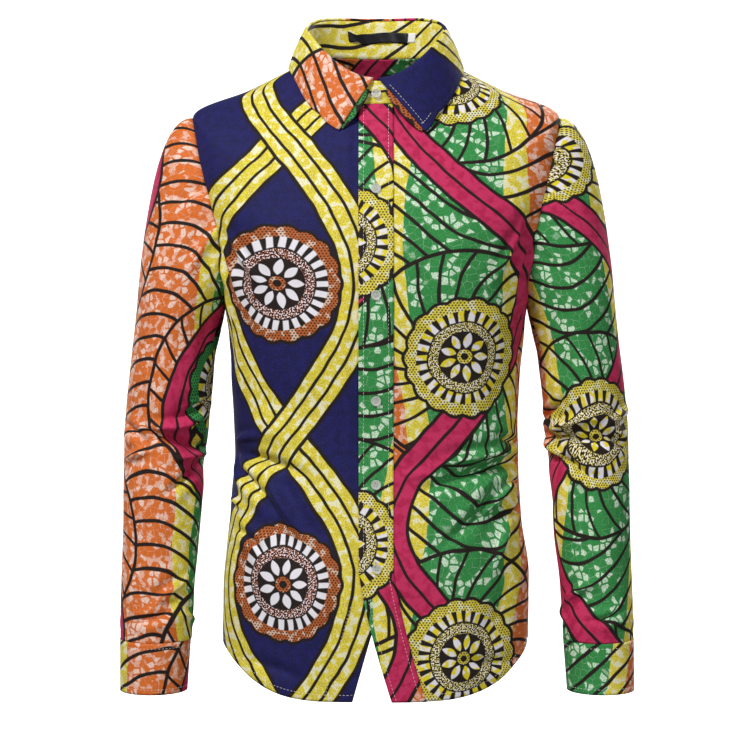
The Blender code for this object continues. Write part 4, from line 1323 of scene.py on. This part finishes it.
    # Rosettes: dotted rim, keys, speckled ring, petals, eye
    odd_column = column.made("PINGPONG", 1.0)
    rim = Paint(tree, RUST).over(clouds, SAND).over(on_green, yellow.colour)
    rim.over(on_green.both(odd_column), GREEN)
    pale = Paint(tree, CHALK)
    pale.over(on_green.both(clouds.either(marble.over(0.5, 0.1))), YELLOW)
    dot_row = (up / DOT_ROW_GAP).nearest()
    dot_place = across / DOT_GAP + dot_row * 0.5
    dot_across = (dot_place - dot_place.nearest()) * DOT_GAP
    dot_up = up - dot_row * DOT_ROW_GAP
    dots = (dot_across * dot_across + dot_up * dot_up).root().under(DOT_RADIUS, 0.5)
    rim.over(dots * 0.92, INK)
    speckled = Paint(tree, RUST).over(on_green, YELLOW).over(speck.over(0.5, 0.08), INK)
    speckled.over(speck.under(0.38, 0.06), CHALK)
    disc = Paint(tree, INK)
    keys = wedge(turn, radius, KEYS).under(KEY_HALF, SOFT)
    disc.over(radius.over(KEYS_FROM, SOFT).both(keys), pale.colour)
    disc.over((radius - SPECKLED_RADIUS).size().under(SPECKLED_HALF, SOFT), speckled.colour)
    petal_half = (radius - PETAL_MIDDLE) * PETAL_TAPER
    petal_half = PETAL_HALF - petal_half * petal_half * PETAL_HALF
    petals = wedge(turn, radius, PETALS).is_under(petal_half, SOFT)
    disc.over(petals.both(radius.under(PETAL_END, SOFT)), pale.colour)
    disc.over(radius.under(EYE_RADIUS, SOFT), rim.colour)
    disc.over(radius.under(PUPIL_RADIUS, SOFT), INK)
    scallop = (turn * PETALS).cosine().size() * SCALLOP_DEPTH + ROSETTE_RADIUS
    base.over(radius.is_under(scallop + LINE_WIDTH * 0.5, SOFT), INK)
    base.over(radius.is_under(scallop - LINE_WIDTH * 0.4, SOFT), rim.colour)
    base.over(radius.under(ROSETTE_RADIUS - RIM_WIDTH, SOFT), disc.colour)

    # Plain yellow and orange cuts with flowing lines, parted by a line
    plain = Paint(tree, yellow.colour).over(zone.over(2.5, 0.03), orange.colour)
    curve = ((across - 40.0) * 0.021).sine() * 24.0 + up + across * 0.35
    plain.over(curve.made("PINGPONG", PLAIN_GAP).under(LINE_WIDTH * 0.55, SOFT), INK)
    plain.over((zone - 2.5).size().under(LINE_WIDTH * 0.5 / ZONE_RAMP, 0.05), INK)
    base.over(zone.over(1.5, 0.03), plain.colour)

    # Threads show as a faint change of tone, with a faint painted highlight on them
    grain = Field(tree, noise(tree, source.outputs[0], THREAD_SCALE, 1.0))
    # Painted highlight: pale chalk flecks on the threads where the grain noise is high; darker flecks
    # where it is low
    base.over(grain.over(0.66, 0.3) * 0.05, CHALK)
    base.over(grain.under(0.4, 0.3) * 0.22, INK)
    tree.links.new(base.colour, result.inputs[0])
    tree.links.new(grain.source, result.inputs[1])
    return tree


def print_material(group):
    made = bpy.data.materials.new("wax_cotton")
    made.use_nodes = True
    tree = made.node_tree
    shader = tree.nodes["Principled BSDF"]
    shader.inputs["Roughness"].default_value = 0.72
    shader.inputs["Specular IOR Level"].default_value = 0.16
    shader.inputs["Sheen Weight"].default_value = 0.02
    shader.inputs["Sheen Roughness"].default_value = 0.5
    cloth = tree.nodes.new("ShaderNodeAttribute")
    cloth.attribute_name = "cloth"
    design = tree.nodes.new("ShaderNodeGroup")
    design.node_tree = group
    tree.links.new(cloth.outputs["Vector"], design.inputs[0])
    tree.links.new(design.outputs[0], shader.inputs["Base Color"])
    puckers = Field(tree, noise(tree, cloth.outputs["Vector"], PUCKER_SCALE, 3.0))
    creased = puckers + Field(tree, design.outputs[1]) * 0.12
    bump = tree.nodes.new("ShaderNodeBump")
    bump.inputs["Strength"].default_value = 0.35
    bump.inputs["Distance"].default_value = 0.0016
    tree.links.new(creased.source, bump.inputs["Height"])
    tree.links.new(bump.outputs[0], shader.inputs["Normal"])
    return made


def plain_material(name, colour, roughness, grain_scale=0.0, grain=0.0, **more):
    """A plain material whose tone and surface still vary a little."""
    made = bpy.data.materials.new(name)
    made.use_nodes = True
    tree = made.node_tree
    shader = tree.nodes["Principled BSDF"]
    shader.inputs["Base Color"].default_value = colour
    shader.inputs["Roughness"].default_value = roughness
    for key, value in more.items():
        shader.inputs[key.replace("_", " ")].default_value = value
    if grain:
        place = tree.nodes.new("ShaderNodeTexCoord")
        grains = texture(
            tree, "ShaderNodeTexNoise", place.outputs["Object"], "Fac", Scale=grain_scale, Detail=2.0
        )
        tones = tree.nodes.new("ShaderNodeMix")
        tones.data_type = "RGBA"
        tree.links.new(grains, tones.inputs[0])
        for socket, share in ((tones.inputs[6], 1.0 - grain), (tones.inputs[7], 1.0 + grain)):
            socket.default_value = tuple(min(1.0, c * share) for c in colour[:3]) + (1.0,)
        tree.links.new(tones.outputs[2], shader.inputs["Base Color"])
        bump = tree.nodes.new("ShaderNodeBump")
        bump.inputs["Strength"].default_value = 0.3
        bump.inputs["Distance"].default_value = 0.0004
        tree.links.new(grains, bump.inputs["Height"])
        tree.links.new(bump.outputs[0], shader.inputs["Normal"])
    return made


def line_on(grid, normals, rows, columns, lift):
    """Points on a grid of points at fractional rows and columns, lifted off it."""
    rows = np.asarray(rows, float)
    columns = np.asarray(columns, float)
    i = np.clip(np.floor(rows).astype(int), 0, grid.shape[0] - 2)
    j = np.clip(np.floor(columns).astype(int), 0, grid.shape[1] - 2)
    u = (rows - i)[:, None]
    v = (columns - j)[:, None]

    def blend(values):
        low = values[i, j] * (1 - v) + values[i, j + 1] * v
        high = values[i + 1, j] * (1 - v) + values[i + 1, j + 1] * v
        return low * (1 - u) + high * u

    out = blend(normals)
    out /= np.linalg.norm(out, axis=1, keepdims=True)
    return blend(grid) + out * lift, out


def stitches(name, lines, made, pitch=4.2, length=2.5, thickness=0.24):
    """Rows of separate stitches along lines of points on the cloth."""
    points = []
    faces = []
    for line, out in lines:
        gaps = np.linalg.norm(np.diff(line, axis=0), axis=1)
        lengths = np.concatenate([[0.0], np.cumsum(gaps)])
        for begin in np.arange(pitch / 2.0, lengths[-1] - pitch / 2.0, pitch):
            along = np.array([begin, begin + length / 2.0, begin + length])
            here = np.stack([np.interp(along, lengths, line[:, k]) for k in range(3)], axis=-1)
            normal = np.array([np.interp(begin, lengths, out[:, k]) for k in range(3)])
            forward = here[2] - here[0]
            side = np.cross(forward, normal)
            side /= np.linalg.norm(side)
            first = len(points)
            for place, half in zip(here, (0.5, 1.0, 0.5)):
                half = half * thickness
                for turn_side, turn_out in ((1, 0), (0, 1), (-1, 0), (0, -0.6)):
                    points.append(place + side * half * turn_side + normal * half * turn_out)
            for ring in (0, 4):
                near = first + ring
                far = near + 4
                for k in range(4):
                    beside = (k + 1) % 4
                    faces.append((near + k, near + beside, far + beside, far + k))
            faces.append((first + 3, first + 2, first + 1, first))
            faces.append((first + 8, first + 9, first + 10, first + 11))
    mesh = bpy.data.meshes.new(name)
    mesh.from_pydata((np.array(points) * MM).tolist(), [], faces)
    mesh.update()
    piece = link(name, mesh, made)
    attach(piece, "root")


def add_rod(mesh, sides, radius, length, matrix):
    bmesh.ops.create_cone(
        mesh,
        cap_ends=True,
        segments=sides,
        radius1=radius * MM,
        radius2=radius * MM,
        depth=length * MM,
        matrix=matrix,
    )


def button_mesh(resin, thread):
    """A four-hole button with a raised rim, with its thread, facing +Z."""
    build = bmesh.new()
    sides = BUTTON_SIDES
    rings = []
    for radius, height in BUTTON_PROFILE:
        if radius == 0.0:
            rings.append([build.verts.new((0.0, 0.0, height * MM))])
            continue
        ring = []
        for k in range(sides):
            turn = math.tau * k / sides
            spot = (radius * MM * math.cos(turn), radius * MM * math.sin(turn), height * MM)
            ring.append(build.verts.new(spot))
        rings.append(ring)
    for upper, lower in zip(rings, rings[1:]):
        for k in range(sides):
            beside = (k + 1) % sides
            if len(upper) == 1:
                build.faces.new((upper[0], lower[k], lower[beside]))
            elif len(lower) == 1:
                build.faces.new((upper[k], lower[0], upper[beside]))
            else:
                build.faces.new((upper[k], lower[k], lower[beside], upper[beside]))
    bmesh.ops.recalc_face_normals(build, faces=build.faces)
    body = bpy.data.meshes.new("button_body")
    build.to_mesh(body)
    build.free()
    disc = link("button_body", body, resin)

    holes = bmesh.new()
    for right, up in ((1, 1), (-1, 1), (1, -1), (-1, -1)):
        place = (right * HOLE_OFFSET * MM, up * HOLE_OFFSET * MM, 0.5 * MM)
        add_rod(holes, 14, HOLE_RADIUS, 5.0, Matrix.Translation(place))
    cutter_mesh = bpy.data.meshes.new("button_holes")
    holes.to_mesh(cutter_mesh)
    holes.free()
    cutter = link("button_holes", cutter_mesh)
    cut = disc.modifiers.new("holes", "BOOLEAN")
    cut.object = cutter
    cut.operation = "DIFFERENCE"
    cut.solver = "EXACT"
    graph = bpy.context.evaluated_depsgraph_get()
    finished = bpy.data.meshes.new_from_object(disc.evaluated_get(graph))
    bpy.data.objects.remove(disc)
    bpy.data.objects.remove(cutter)

    joined = bmesh.new()
    joined.from_mesh(finished)
    before = len(joined.faces)
    for y in (-HOLE_OFFSET, HOLE_OFFSET):
        for beside in (-THREAD_BESIDE, THREAD_BESIDE):
            place = Matrix.Translation((0.0, (y + beside) * MM, THREAD_HEIGHT * MM))
            add_rod(joined, 8, THREAD_RADIUS, 2.7, place @ Matrix.Rotation(math.pi / 2.0, 4, "Y"))
    joined.faces.ensure_lookup_table()
    for face in joined.faces[before:]:
        face.material_index = 1
    joined.to_mesh(finished)
    joined.free()
    finished.name = "shirt_button"
    finished.materials.clear()
    finished.materials.append(resin)
    finished.materials.append(thread)
    for face in finished.polygons:
        face.use_smooth = False
    return finished


def node_centre(node):
    low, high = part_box(node)
    return (Vector(low) + Vector(high)) / 2.0


def place_button(name, node, mesh, outward, spin):
    """A detailed button where the frame holds its plain one, facing the same way."""
    piece = bpy.data.objects.new(name, mesh)
    bpy.context.scene.collection.objects.link(piece)
    turn = Vector((0.0, 0.0, 1.0)).rotation_difference(Vector(outward)).to_matrix().to_4x4()
    centre = node_centre(node) - Vector(outward) * BUTTON_SINK * MM
    piece.matrix_world = Matrix.Translation(centre) @ turn @ Matrix.Rotation(spin, 4, "Z")
    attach(piece, "root")
    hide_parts(node)


def place_camera():
    data = bpy.data.cameras.new("camera")
    data.sensor_width = 36.0
    data.lens = 96.84
    camera = bpy.data.objects.new("camera", data)
    camera.location = CAMERA_PLACE
    camera.rotation_euler = (math.radians(90.0 - CAMERA_TILT), 0.0, 0.0)
    bpy.context.scene.collection.objects.link(camera)
    bpy.context.scene.camera = camera


def area_light(light):
    data = bpy.data.lights.new(light.name, "AREA")
    data.shape = "RECTANGLE"
    data.size, data.size_y = light.size
    data.energy = light.watts
    lamp = bpy.data.objects.new(light.name, data)
    lamp.location = light.place
    aim = Vector(LIT_POINT) - Vector(light.place)
    lamp.rotation_euler = aim.to_track_quat("-Z", "Y").to_euler()
    bpy.context.scene.collection.objects.link(lamp)


def studio():
    """A pale round studio whose floor curves up into its wall, with soft light from the front left."""
    profile = [(0.0, FLOOR_Z), (WALL_RADIUS - COVE_RADIUS, FLOOR_Z)]
    for k in range(1, COVE_STEPS + 1):
        turn = math.pi / 2.0 * k / COVE_STEPS
        reach = WALL_RADIUS - COVE_RADIUS * (1.0 - math.sin(turn))
        profile.append((reach, FLOOR_Z + COVE_RADIUS * (1.0 - math.cos(turn))))
    profile.append((WALL_RADIUS, WALL_TOP_Z))
    turns = np.linspace(0.0, math.tau, WALL_COLUMNS + 1)
    points = [(r * math.sin(turn), r * math.cos(turn), z) for r, z in profile for turn in turns]
    index = np.arange(len(points)).reshape(len(profile), len(turns))
    mesh = bpy.data.meshes.new("studio_sweep")
    mesh.from_pydata(points, [], squares(index).tolist())
    mesh.update()
    paper = plain_material("studio_paper", (0.8, 0.8, 0.8, 1.0), 0.9, 40.0, 0.01)
    shader = paper.node_tree.nodes["Principled BSDF"]
    shader.inputs["Emission Color"].default_value = (1.0, 1.0, 1.0, 1.0)
    shader.inputs["Emission Strength"].default_value = PAPER_GLOW
    sweep = link("studio_sweep", mesh, paper)
    sweep.visible_diffuse = False
    sweep.visible_glossy = False
    sweep.visible_shadow = False

    world = bpy.data.worlds.new("surround")
    world.use_nodes = True
    background = world.node_tree.nodes["Background"]
    background.inputs[0].default_value = (1.0, 1.0, 1.0, 1.0)
    background.inputs[1].default_value = SURROUND_GLOW
    bpy.context.scene.world = world
    for light in LIGHTS:
        area_light(light)
    bpy.context.scene.view_settings.view_transform = "Standard"


def edge_line(grid, normals, inset, side, rows=None, lift=0.45):
    """A line a distance in from one side edge of a grid, following its rows."""
    lengths = np.linalg.norm(np.diff(grid, axis=1), axis=2)
    chosen = np.arange(grid.shape[0]) if rows is None else rows
    columns = [inset_place(lengths[int(row)], inset, side) for row in chosen]
    return line_on(grid, normals, chosen, columns, lift)


def row_line(grid, normals, inset, side, columns=None, lift=0.45):
    """A line a distance in from the first or last row of a grid, following its columns."""
    lengths = np.linalg.norm(np.diff(grid, axis=0), axis=2)
    chosen = np.arange(grid.shape[1]) if columns is None else columns
    rows = [inset_place(lengths[:, int(column)], inset, side) for column in chosen]
    return line_on(grid, normals, rows, chosen, lift)


def inset_place(steps, inset, side):
    """Where along a line of steps a distance in from its start or its end falls."""
    along = np.concatenate([[0.0], np.cumsum(steps)])
    target = inset if side == "start" else along[-1] - inset
    return np.interp(target, along, np.arange(len(along)))


def placket(left, normals, left_flat, distances):
    """The band down the edge of the left front: its first columns, moved out."""
    lift = (CAD_CLOTH_WALL + BAND_WALL) / 2.0 + SEAM_GAP
    rows = []
    out = []
    flat = []
    for row in range(len(left)):
        wanted = distances[row, 0] + np.linspace(0.0, BAND_WIDTH, BAND_COLUMNS)
        columns = np.interp(wanted, distances[row], np.arange(FRONT_COLUMNS))
        line, away = line_on(left, normals, np.full(BAND_COLUMNS, row), columns, lift)
        rows.append(line)
        out.append(away)
        flat.append(np.stack([wanted, np.full(BAND_COLUMNS, left_flat[row, 0, 1])], axis=-1))
    return np.array(rows), np.array(out), np.array(flat)


def dress(cotton):
    """All the cloth. Returns the grids of points that stitches and trim are laid on, by name."""
    cuts = {cut.name: cut for cut in CUTS}
    laid = {}
    flats = {}

    def lay(name, grid, flat, zone=None, closed=False, outward=1.0):
        cut = cuts[name]
        flats[name] = flat
        on_cloth = flat + np.array([cut.across, cut.up])
        zone = cut.zone if zone is None else zone
        laid[name] = cloth_piece(
            name, grid, on_cloth, zone, cut.wall, cotton, cut.node, closed, outward
        )

    left, left_normals, left_flat, distances = front_panel(
        left_start, LEFT_FRONT_FOLDS, stays_out, LEFT_SEED
    )
    right, _, right_flat, _ = front_panel(
        right_start, RIGHT_FRONT_FOLDS, under_left_front, RIGHT_SEED
    )
    back, _, back_flat = back_panel()
    right_side = mirrored(right)
    lay("front_left_cloth", left, left_flat)
    lay("front_right_cloth", right_side, right_flat * FLIP, outward=-1.0)
    lay("back_cloth", back, back_flat, ramp(BACK_NAVY_FROM - back_flat[:, :, 0]), outward=-1.0)

    band, band_normals, band_flat = placket(left, left_normals, left_flat, distances)
    lay("placket_cloth", band, band_flat)

    left_arm, left_arm_flat = sleeve(
        armhole_loop(left, back), LEFT_ARM_LEAN, LEFT_SLEEVE_FOLDS, LEFT_ARM_SEED
    )
    right_loop = armhole_loop(right, mirrored(back)[:, ::-1])
    right_arm, right_arm_flat = sleeve(right_loop, RIGHT_ARM_LEAN, RIGHT_SLEEVE_FOLDS, RIGHT_ARM_SEED)
    lay("sleeve_left_cloth", left_arm, left_arm_flat, closed=True)
    lay("sleeve_right_cloth", mirrored(right_arm), right_arm_flat, closed=True, outward=-1.0)

    left_cuff, left_cuff_flat = cuff(LEFT_ARM_LEAN)
    right_cuff, right_cuff_flat = cuff(RIGHT_ARM_LEAN)
    right_cuff = mirrored(right_cuff)
    lay("cuff_left_cloth", left_cuff, left_cuff_flat)
    lay("cuff_right_cloth", right_cuff, right_cuff_flat, outward=-1.0)

    stand, stand_flat = collar_stand(neck_edge(left, back, right))
    lay("collar_stand_cloth", stand, stand_flat)
    leaf, leaf_flat = collar_leaf()
    lay("collar_leaf_cloth", leaf, leaf_flat, leaf_zone(leaf, leaf_flat), outward=-1.0)
    next_rosette = (COLUMN_PITCH, ROW_PITCH / 2.0)
    strips = [
        under_collar_strip(
            "under_collar_left", leaf, 0, 1, LEFT_STRIP_WIDTH, (0.0, 0.0), 0.0, cotton
        ),
        under_collar_strip(
            "under_collar_right", leaf, -1, -2, RIGHT_STRIP_WIDTH, next_rosette, 1.0, cotton
        ),
    ]
    for cut in CUTS:
        declare_sheet(flats[cut.name])
    return {
        "left": left,
        "right": right_side,
        "back": back,
        "band": band,
        "band_normals": band_normals,
        "left_cuff": left_cuff,
        "right_cuff": right_cuff,
        "stand": stand,
        "stand_piece": laid["collar_stand_cloth"],
        "leaf": leaf,
    }


def labels(stand, satin, tape):
    """The bare ribbon and tab on the inner face of the back of the stand."""
    normals = grid_normals(stand)
    back = stand.shape[1] // 2
    columns = np.arange(stand.shape[1], dtype=float)
    near = slice(back - LABEL_SEARCH, back + LABEL_SEARCH + 1)
    height = np.linalg.norm(stand[-1, back] - stand[0, back])
    lift = -(COLLAR_WALL / 2.0 + SEAM_GAP + TRIM_WALL / 2.0)
    middle = np.full(2 * LABEL_SEARCH + 1, LABEL_MIDDLE * (STAND_ROWS - 1))
    face = line_on(stand, normals, middle, columns[near], lift)[0][:, 0]
    order = np.argsort(face)
    made = []
    for label in LABELS:
        low, high = (Vector(corner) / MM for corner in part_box(label.node))
        ends = np.interp([low.x, high.x], face[order], columns[near][order])
        along = np.linspace(0.0, 1.0, label.columns)
        up = np.linspace(-1.0, 1.0, LABEL_ROWS)[:, None]
        rows = (LABEL_MIDDLE + 0.5 * up[:, 0] * label.width / height) * (STAND_ROWS - 1)
        spots = ends[0] + (ends[1] - ends[0]) * along
        lines = [line_on(stand, normals, np.full(label.columns, row), spots, lift)[0] for row in rows]
        grid = np.array(lines)
        pinch = np.exp(-(((along - 0.15) / 0.07) ** 2))
        turned_end = np.exp(-((along / 0.06) ** 2))
        wave = np.sin(math.tau * 1.35 * along + 2.2)
        grid[:, :, 2] += label.ripple * (wave + turned_end - 2.2 * up * pinch)
        grid[:, :, 1] -= label.ripple * (1.1 + np.sin(math.tau * 2.3 * along + 0.8 * up))
        sides = np.broadcast_arrays((high.x - low.x) * along, 0.5 * label.width * up)
        flat = np.stack(sides, axis=-1)
        piece = cloth_piece(
            f"{label.node}_cloth", grid, flat, 0.0, TRIM_WALL, satin if label.ripple else tape,
            label.node, outward=-1.0,
        )
        made.append((piece, flat))
    (ribbon, ribbon_flat), (tab, _) = made
    declare_sheet(ribbon_flat)


def sew(made, white, matching):
    """Rows of stitches along the placket, collar, cuffs and hems."""
    band = made["band"]
    sides = ("start", "end")
    lift = BAND_WALL / 2.0 + STITCH_LIFT
    lines = [edge_line(band, made["band_normals"], BAND_STITCH, side, lift=lift) for side in sides]
    stitches("placket_stitches", lines, white)

    leaf = made["leaf"]
    leaf_normals = -grid_normals(leaf)
    lift = COLLAR_WALL / 2.0 + STITCH_LIFT
    rows = np.arange(COLLAR_STITCH_FROM_ROW, leaf.shape[0] - 2)
    columns = np.arange(COLLAR_STITCH_FROM_COLUMN, leaf.shape[1] - COLLAR_STITCH_FROM_COLUMN)
    outer = row_line(leaf, leaf_normals, COLLAR_STITCH, "end", columns, lift)
    front_edges = [edge_line(leaf, leaf_normals, COLLAR_STITCH, side, rows, lift) for side in sides]
    stitches("collar_stitches", [outer, front_edges[1]], matching)
    left_half = leaf[:, : leaf.shape[1] // 2]
    spots = []
    for x, z in POINT_STITCH:
        gaps = np.hypot(left_half[:, :, 0] - x, left_half[:, :, 2] - z)
        spots.append(np.unravel_index(np.argmin(gaps), gaps.shape))
    rows, columns = np.linspace(*spots, 5).T
    point = line_on(leaf, leaf_normals, rows, columns, lift)
    stitches("collar_white_stitches", [front_edges[0], point], white, thickness=0.32)

    for key, outward in (("left_cuff", 1.0), ("right_cuff", -1.0)):
        grid = made[key]
        normals = grid_normals(grid) * outward
        lift = CUFF_WALL / 2.0 + STITCH_LIFT
        lines = [row_line(grid, normals, CUFF_STITCH, side, lift=lift) for side in sides]
        stitches(f"{key}_stitches", lines, white)

    hems = []
    lift = CLOTH_WALL / 2.0 + STITCH_LIFT
    for key, outward in (("left", 1.0), ("right", -1.0), ("back", -1.0)):
        grid = made[key]
        normals = grid_normals(grid) * outward
        hems.append(row_line(grid, normals, HEM_STITCH, "start", lift=lift))
    right = made["right"]
    opened = np.arange(0, HEM_TO_HIP_STEPS)
    hems.append(edge_line(right, -grid_normals(right), FACING_STITCH, "start", opened, lift))
    stitches("hem_stitches", hems, white)


def fasten(made, resin, white, matching):
    """The buttons, and a worked buttonhole under each one on the placket."""
    band = made["band"]
    normals = made["band_normals"]
    button = button_mesh(resin, white)
    middle = (band.shape[1] - 1) / 2.0
    heights = band[:, band.shape[1] // 2, 2]
    hole_lift = BAND_WALL / 2.0 + HOLE_THREAD_LIFT
    holes = []
    for number in range(1, 6):
        node = f"button_{number}"
        z = node_centre(node).z / MM
        row = np.interp(z, heights, np.arange(len(heights)))
        _, out = line_on(band, normals, [row], [middle], 0.0)
        place_button(f"{node}_detail", node, button, out[0], 0.3 * number)
        ends = np.interp([z - HOLE_HALF, z + HOLE_HALF], heights, np.arange(len(heights)))
        for beside in (-HOLE_SIDE, HOLE_SIDE):
            holes.append(line_on(band, normals, ends, [middle + beside] * 2, hole_lift))
    stitches("buttonholes", holes, matching, pitch=0.95, length=0.85, thickness=0.42)
    place_button("button_collar_detail", "button_collar", button, COLLAR_BUTTON_FACES, 0.2)
    for key, node, outward in (
        ("left_cuff", "button_cuff_left", 1.0),
        ("right_cuff", "button_cuff_right", -1.0),
    ):
        grid = made[key]
        normals = grid_normals(grid) * outward
        centre = np.array(node_centre(node)) / MM
        gaps = np.linalg.norm(grid[:, -CUFF_LAP_COLUMNS:] - centre, axis=2)
        i, j = np.unravel_index(np.argmin(gaps), gaps.shape)
        faces = normals[i, grid.shape[1] - CUFF_LAP_COLUMNS + j]
        place_button(f"{node}_detail", node, button, faces, 0.5)


def main():
    place_camera()
    studio()
    cotton = print_material(wax_print())
    white = plain_material("white_thread", linear("f4f1ea"), 0.7, 900.0, 0.1)
    matching = plain_material("dark_thread", linear("2b3a52"), 0.7, 900.0, 0.1)
    resin = plain_material("button_resin", (0.78, 0.79, 0.74, 1.0), 0.12, Alpha=0.5, IOR=1.5)
    satin = plain_material(
        "label_satin", (0.005, 0.005, 0.009, 1.0), 0.42, 1500.0, 0.3, Specular_IOR_Level=0.25
    )
    tape = plain_material("tab_tape", (0.86, 0.86, 0.84, 1.0), 0.75, 1500.0, 0.06)
    made = dress(cotton)
    labels(made["stand"], satin, tape)
    sew(made, white, matching)
    fasten(made, resin, white, matching)


main()
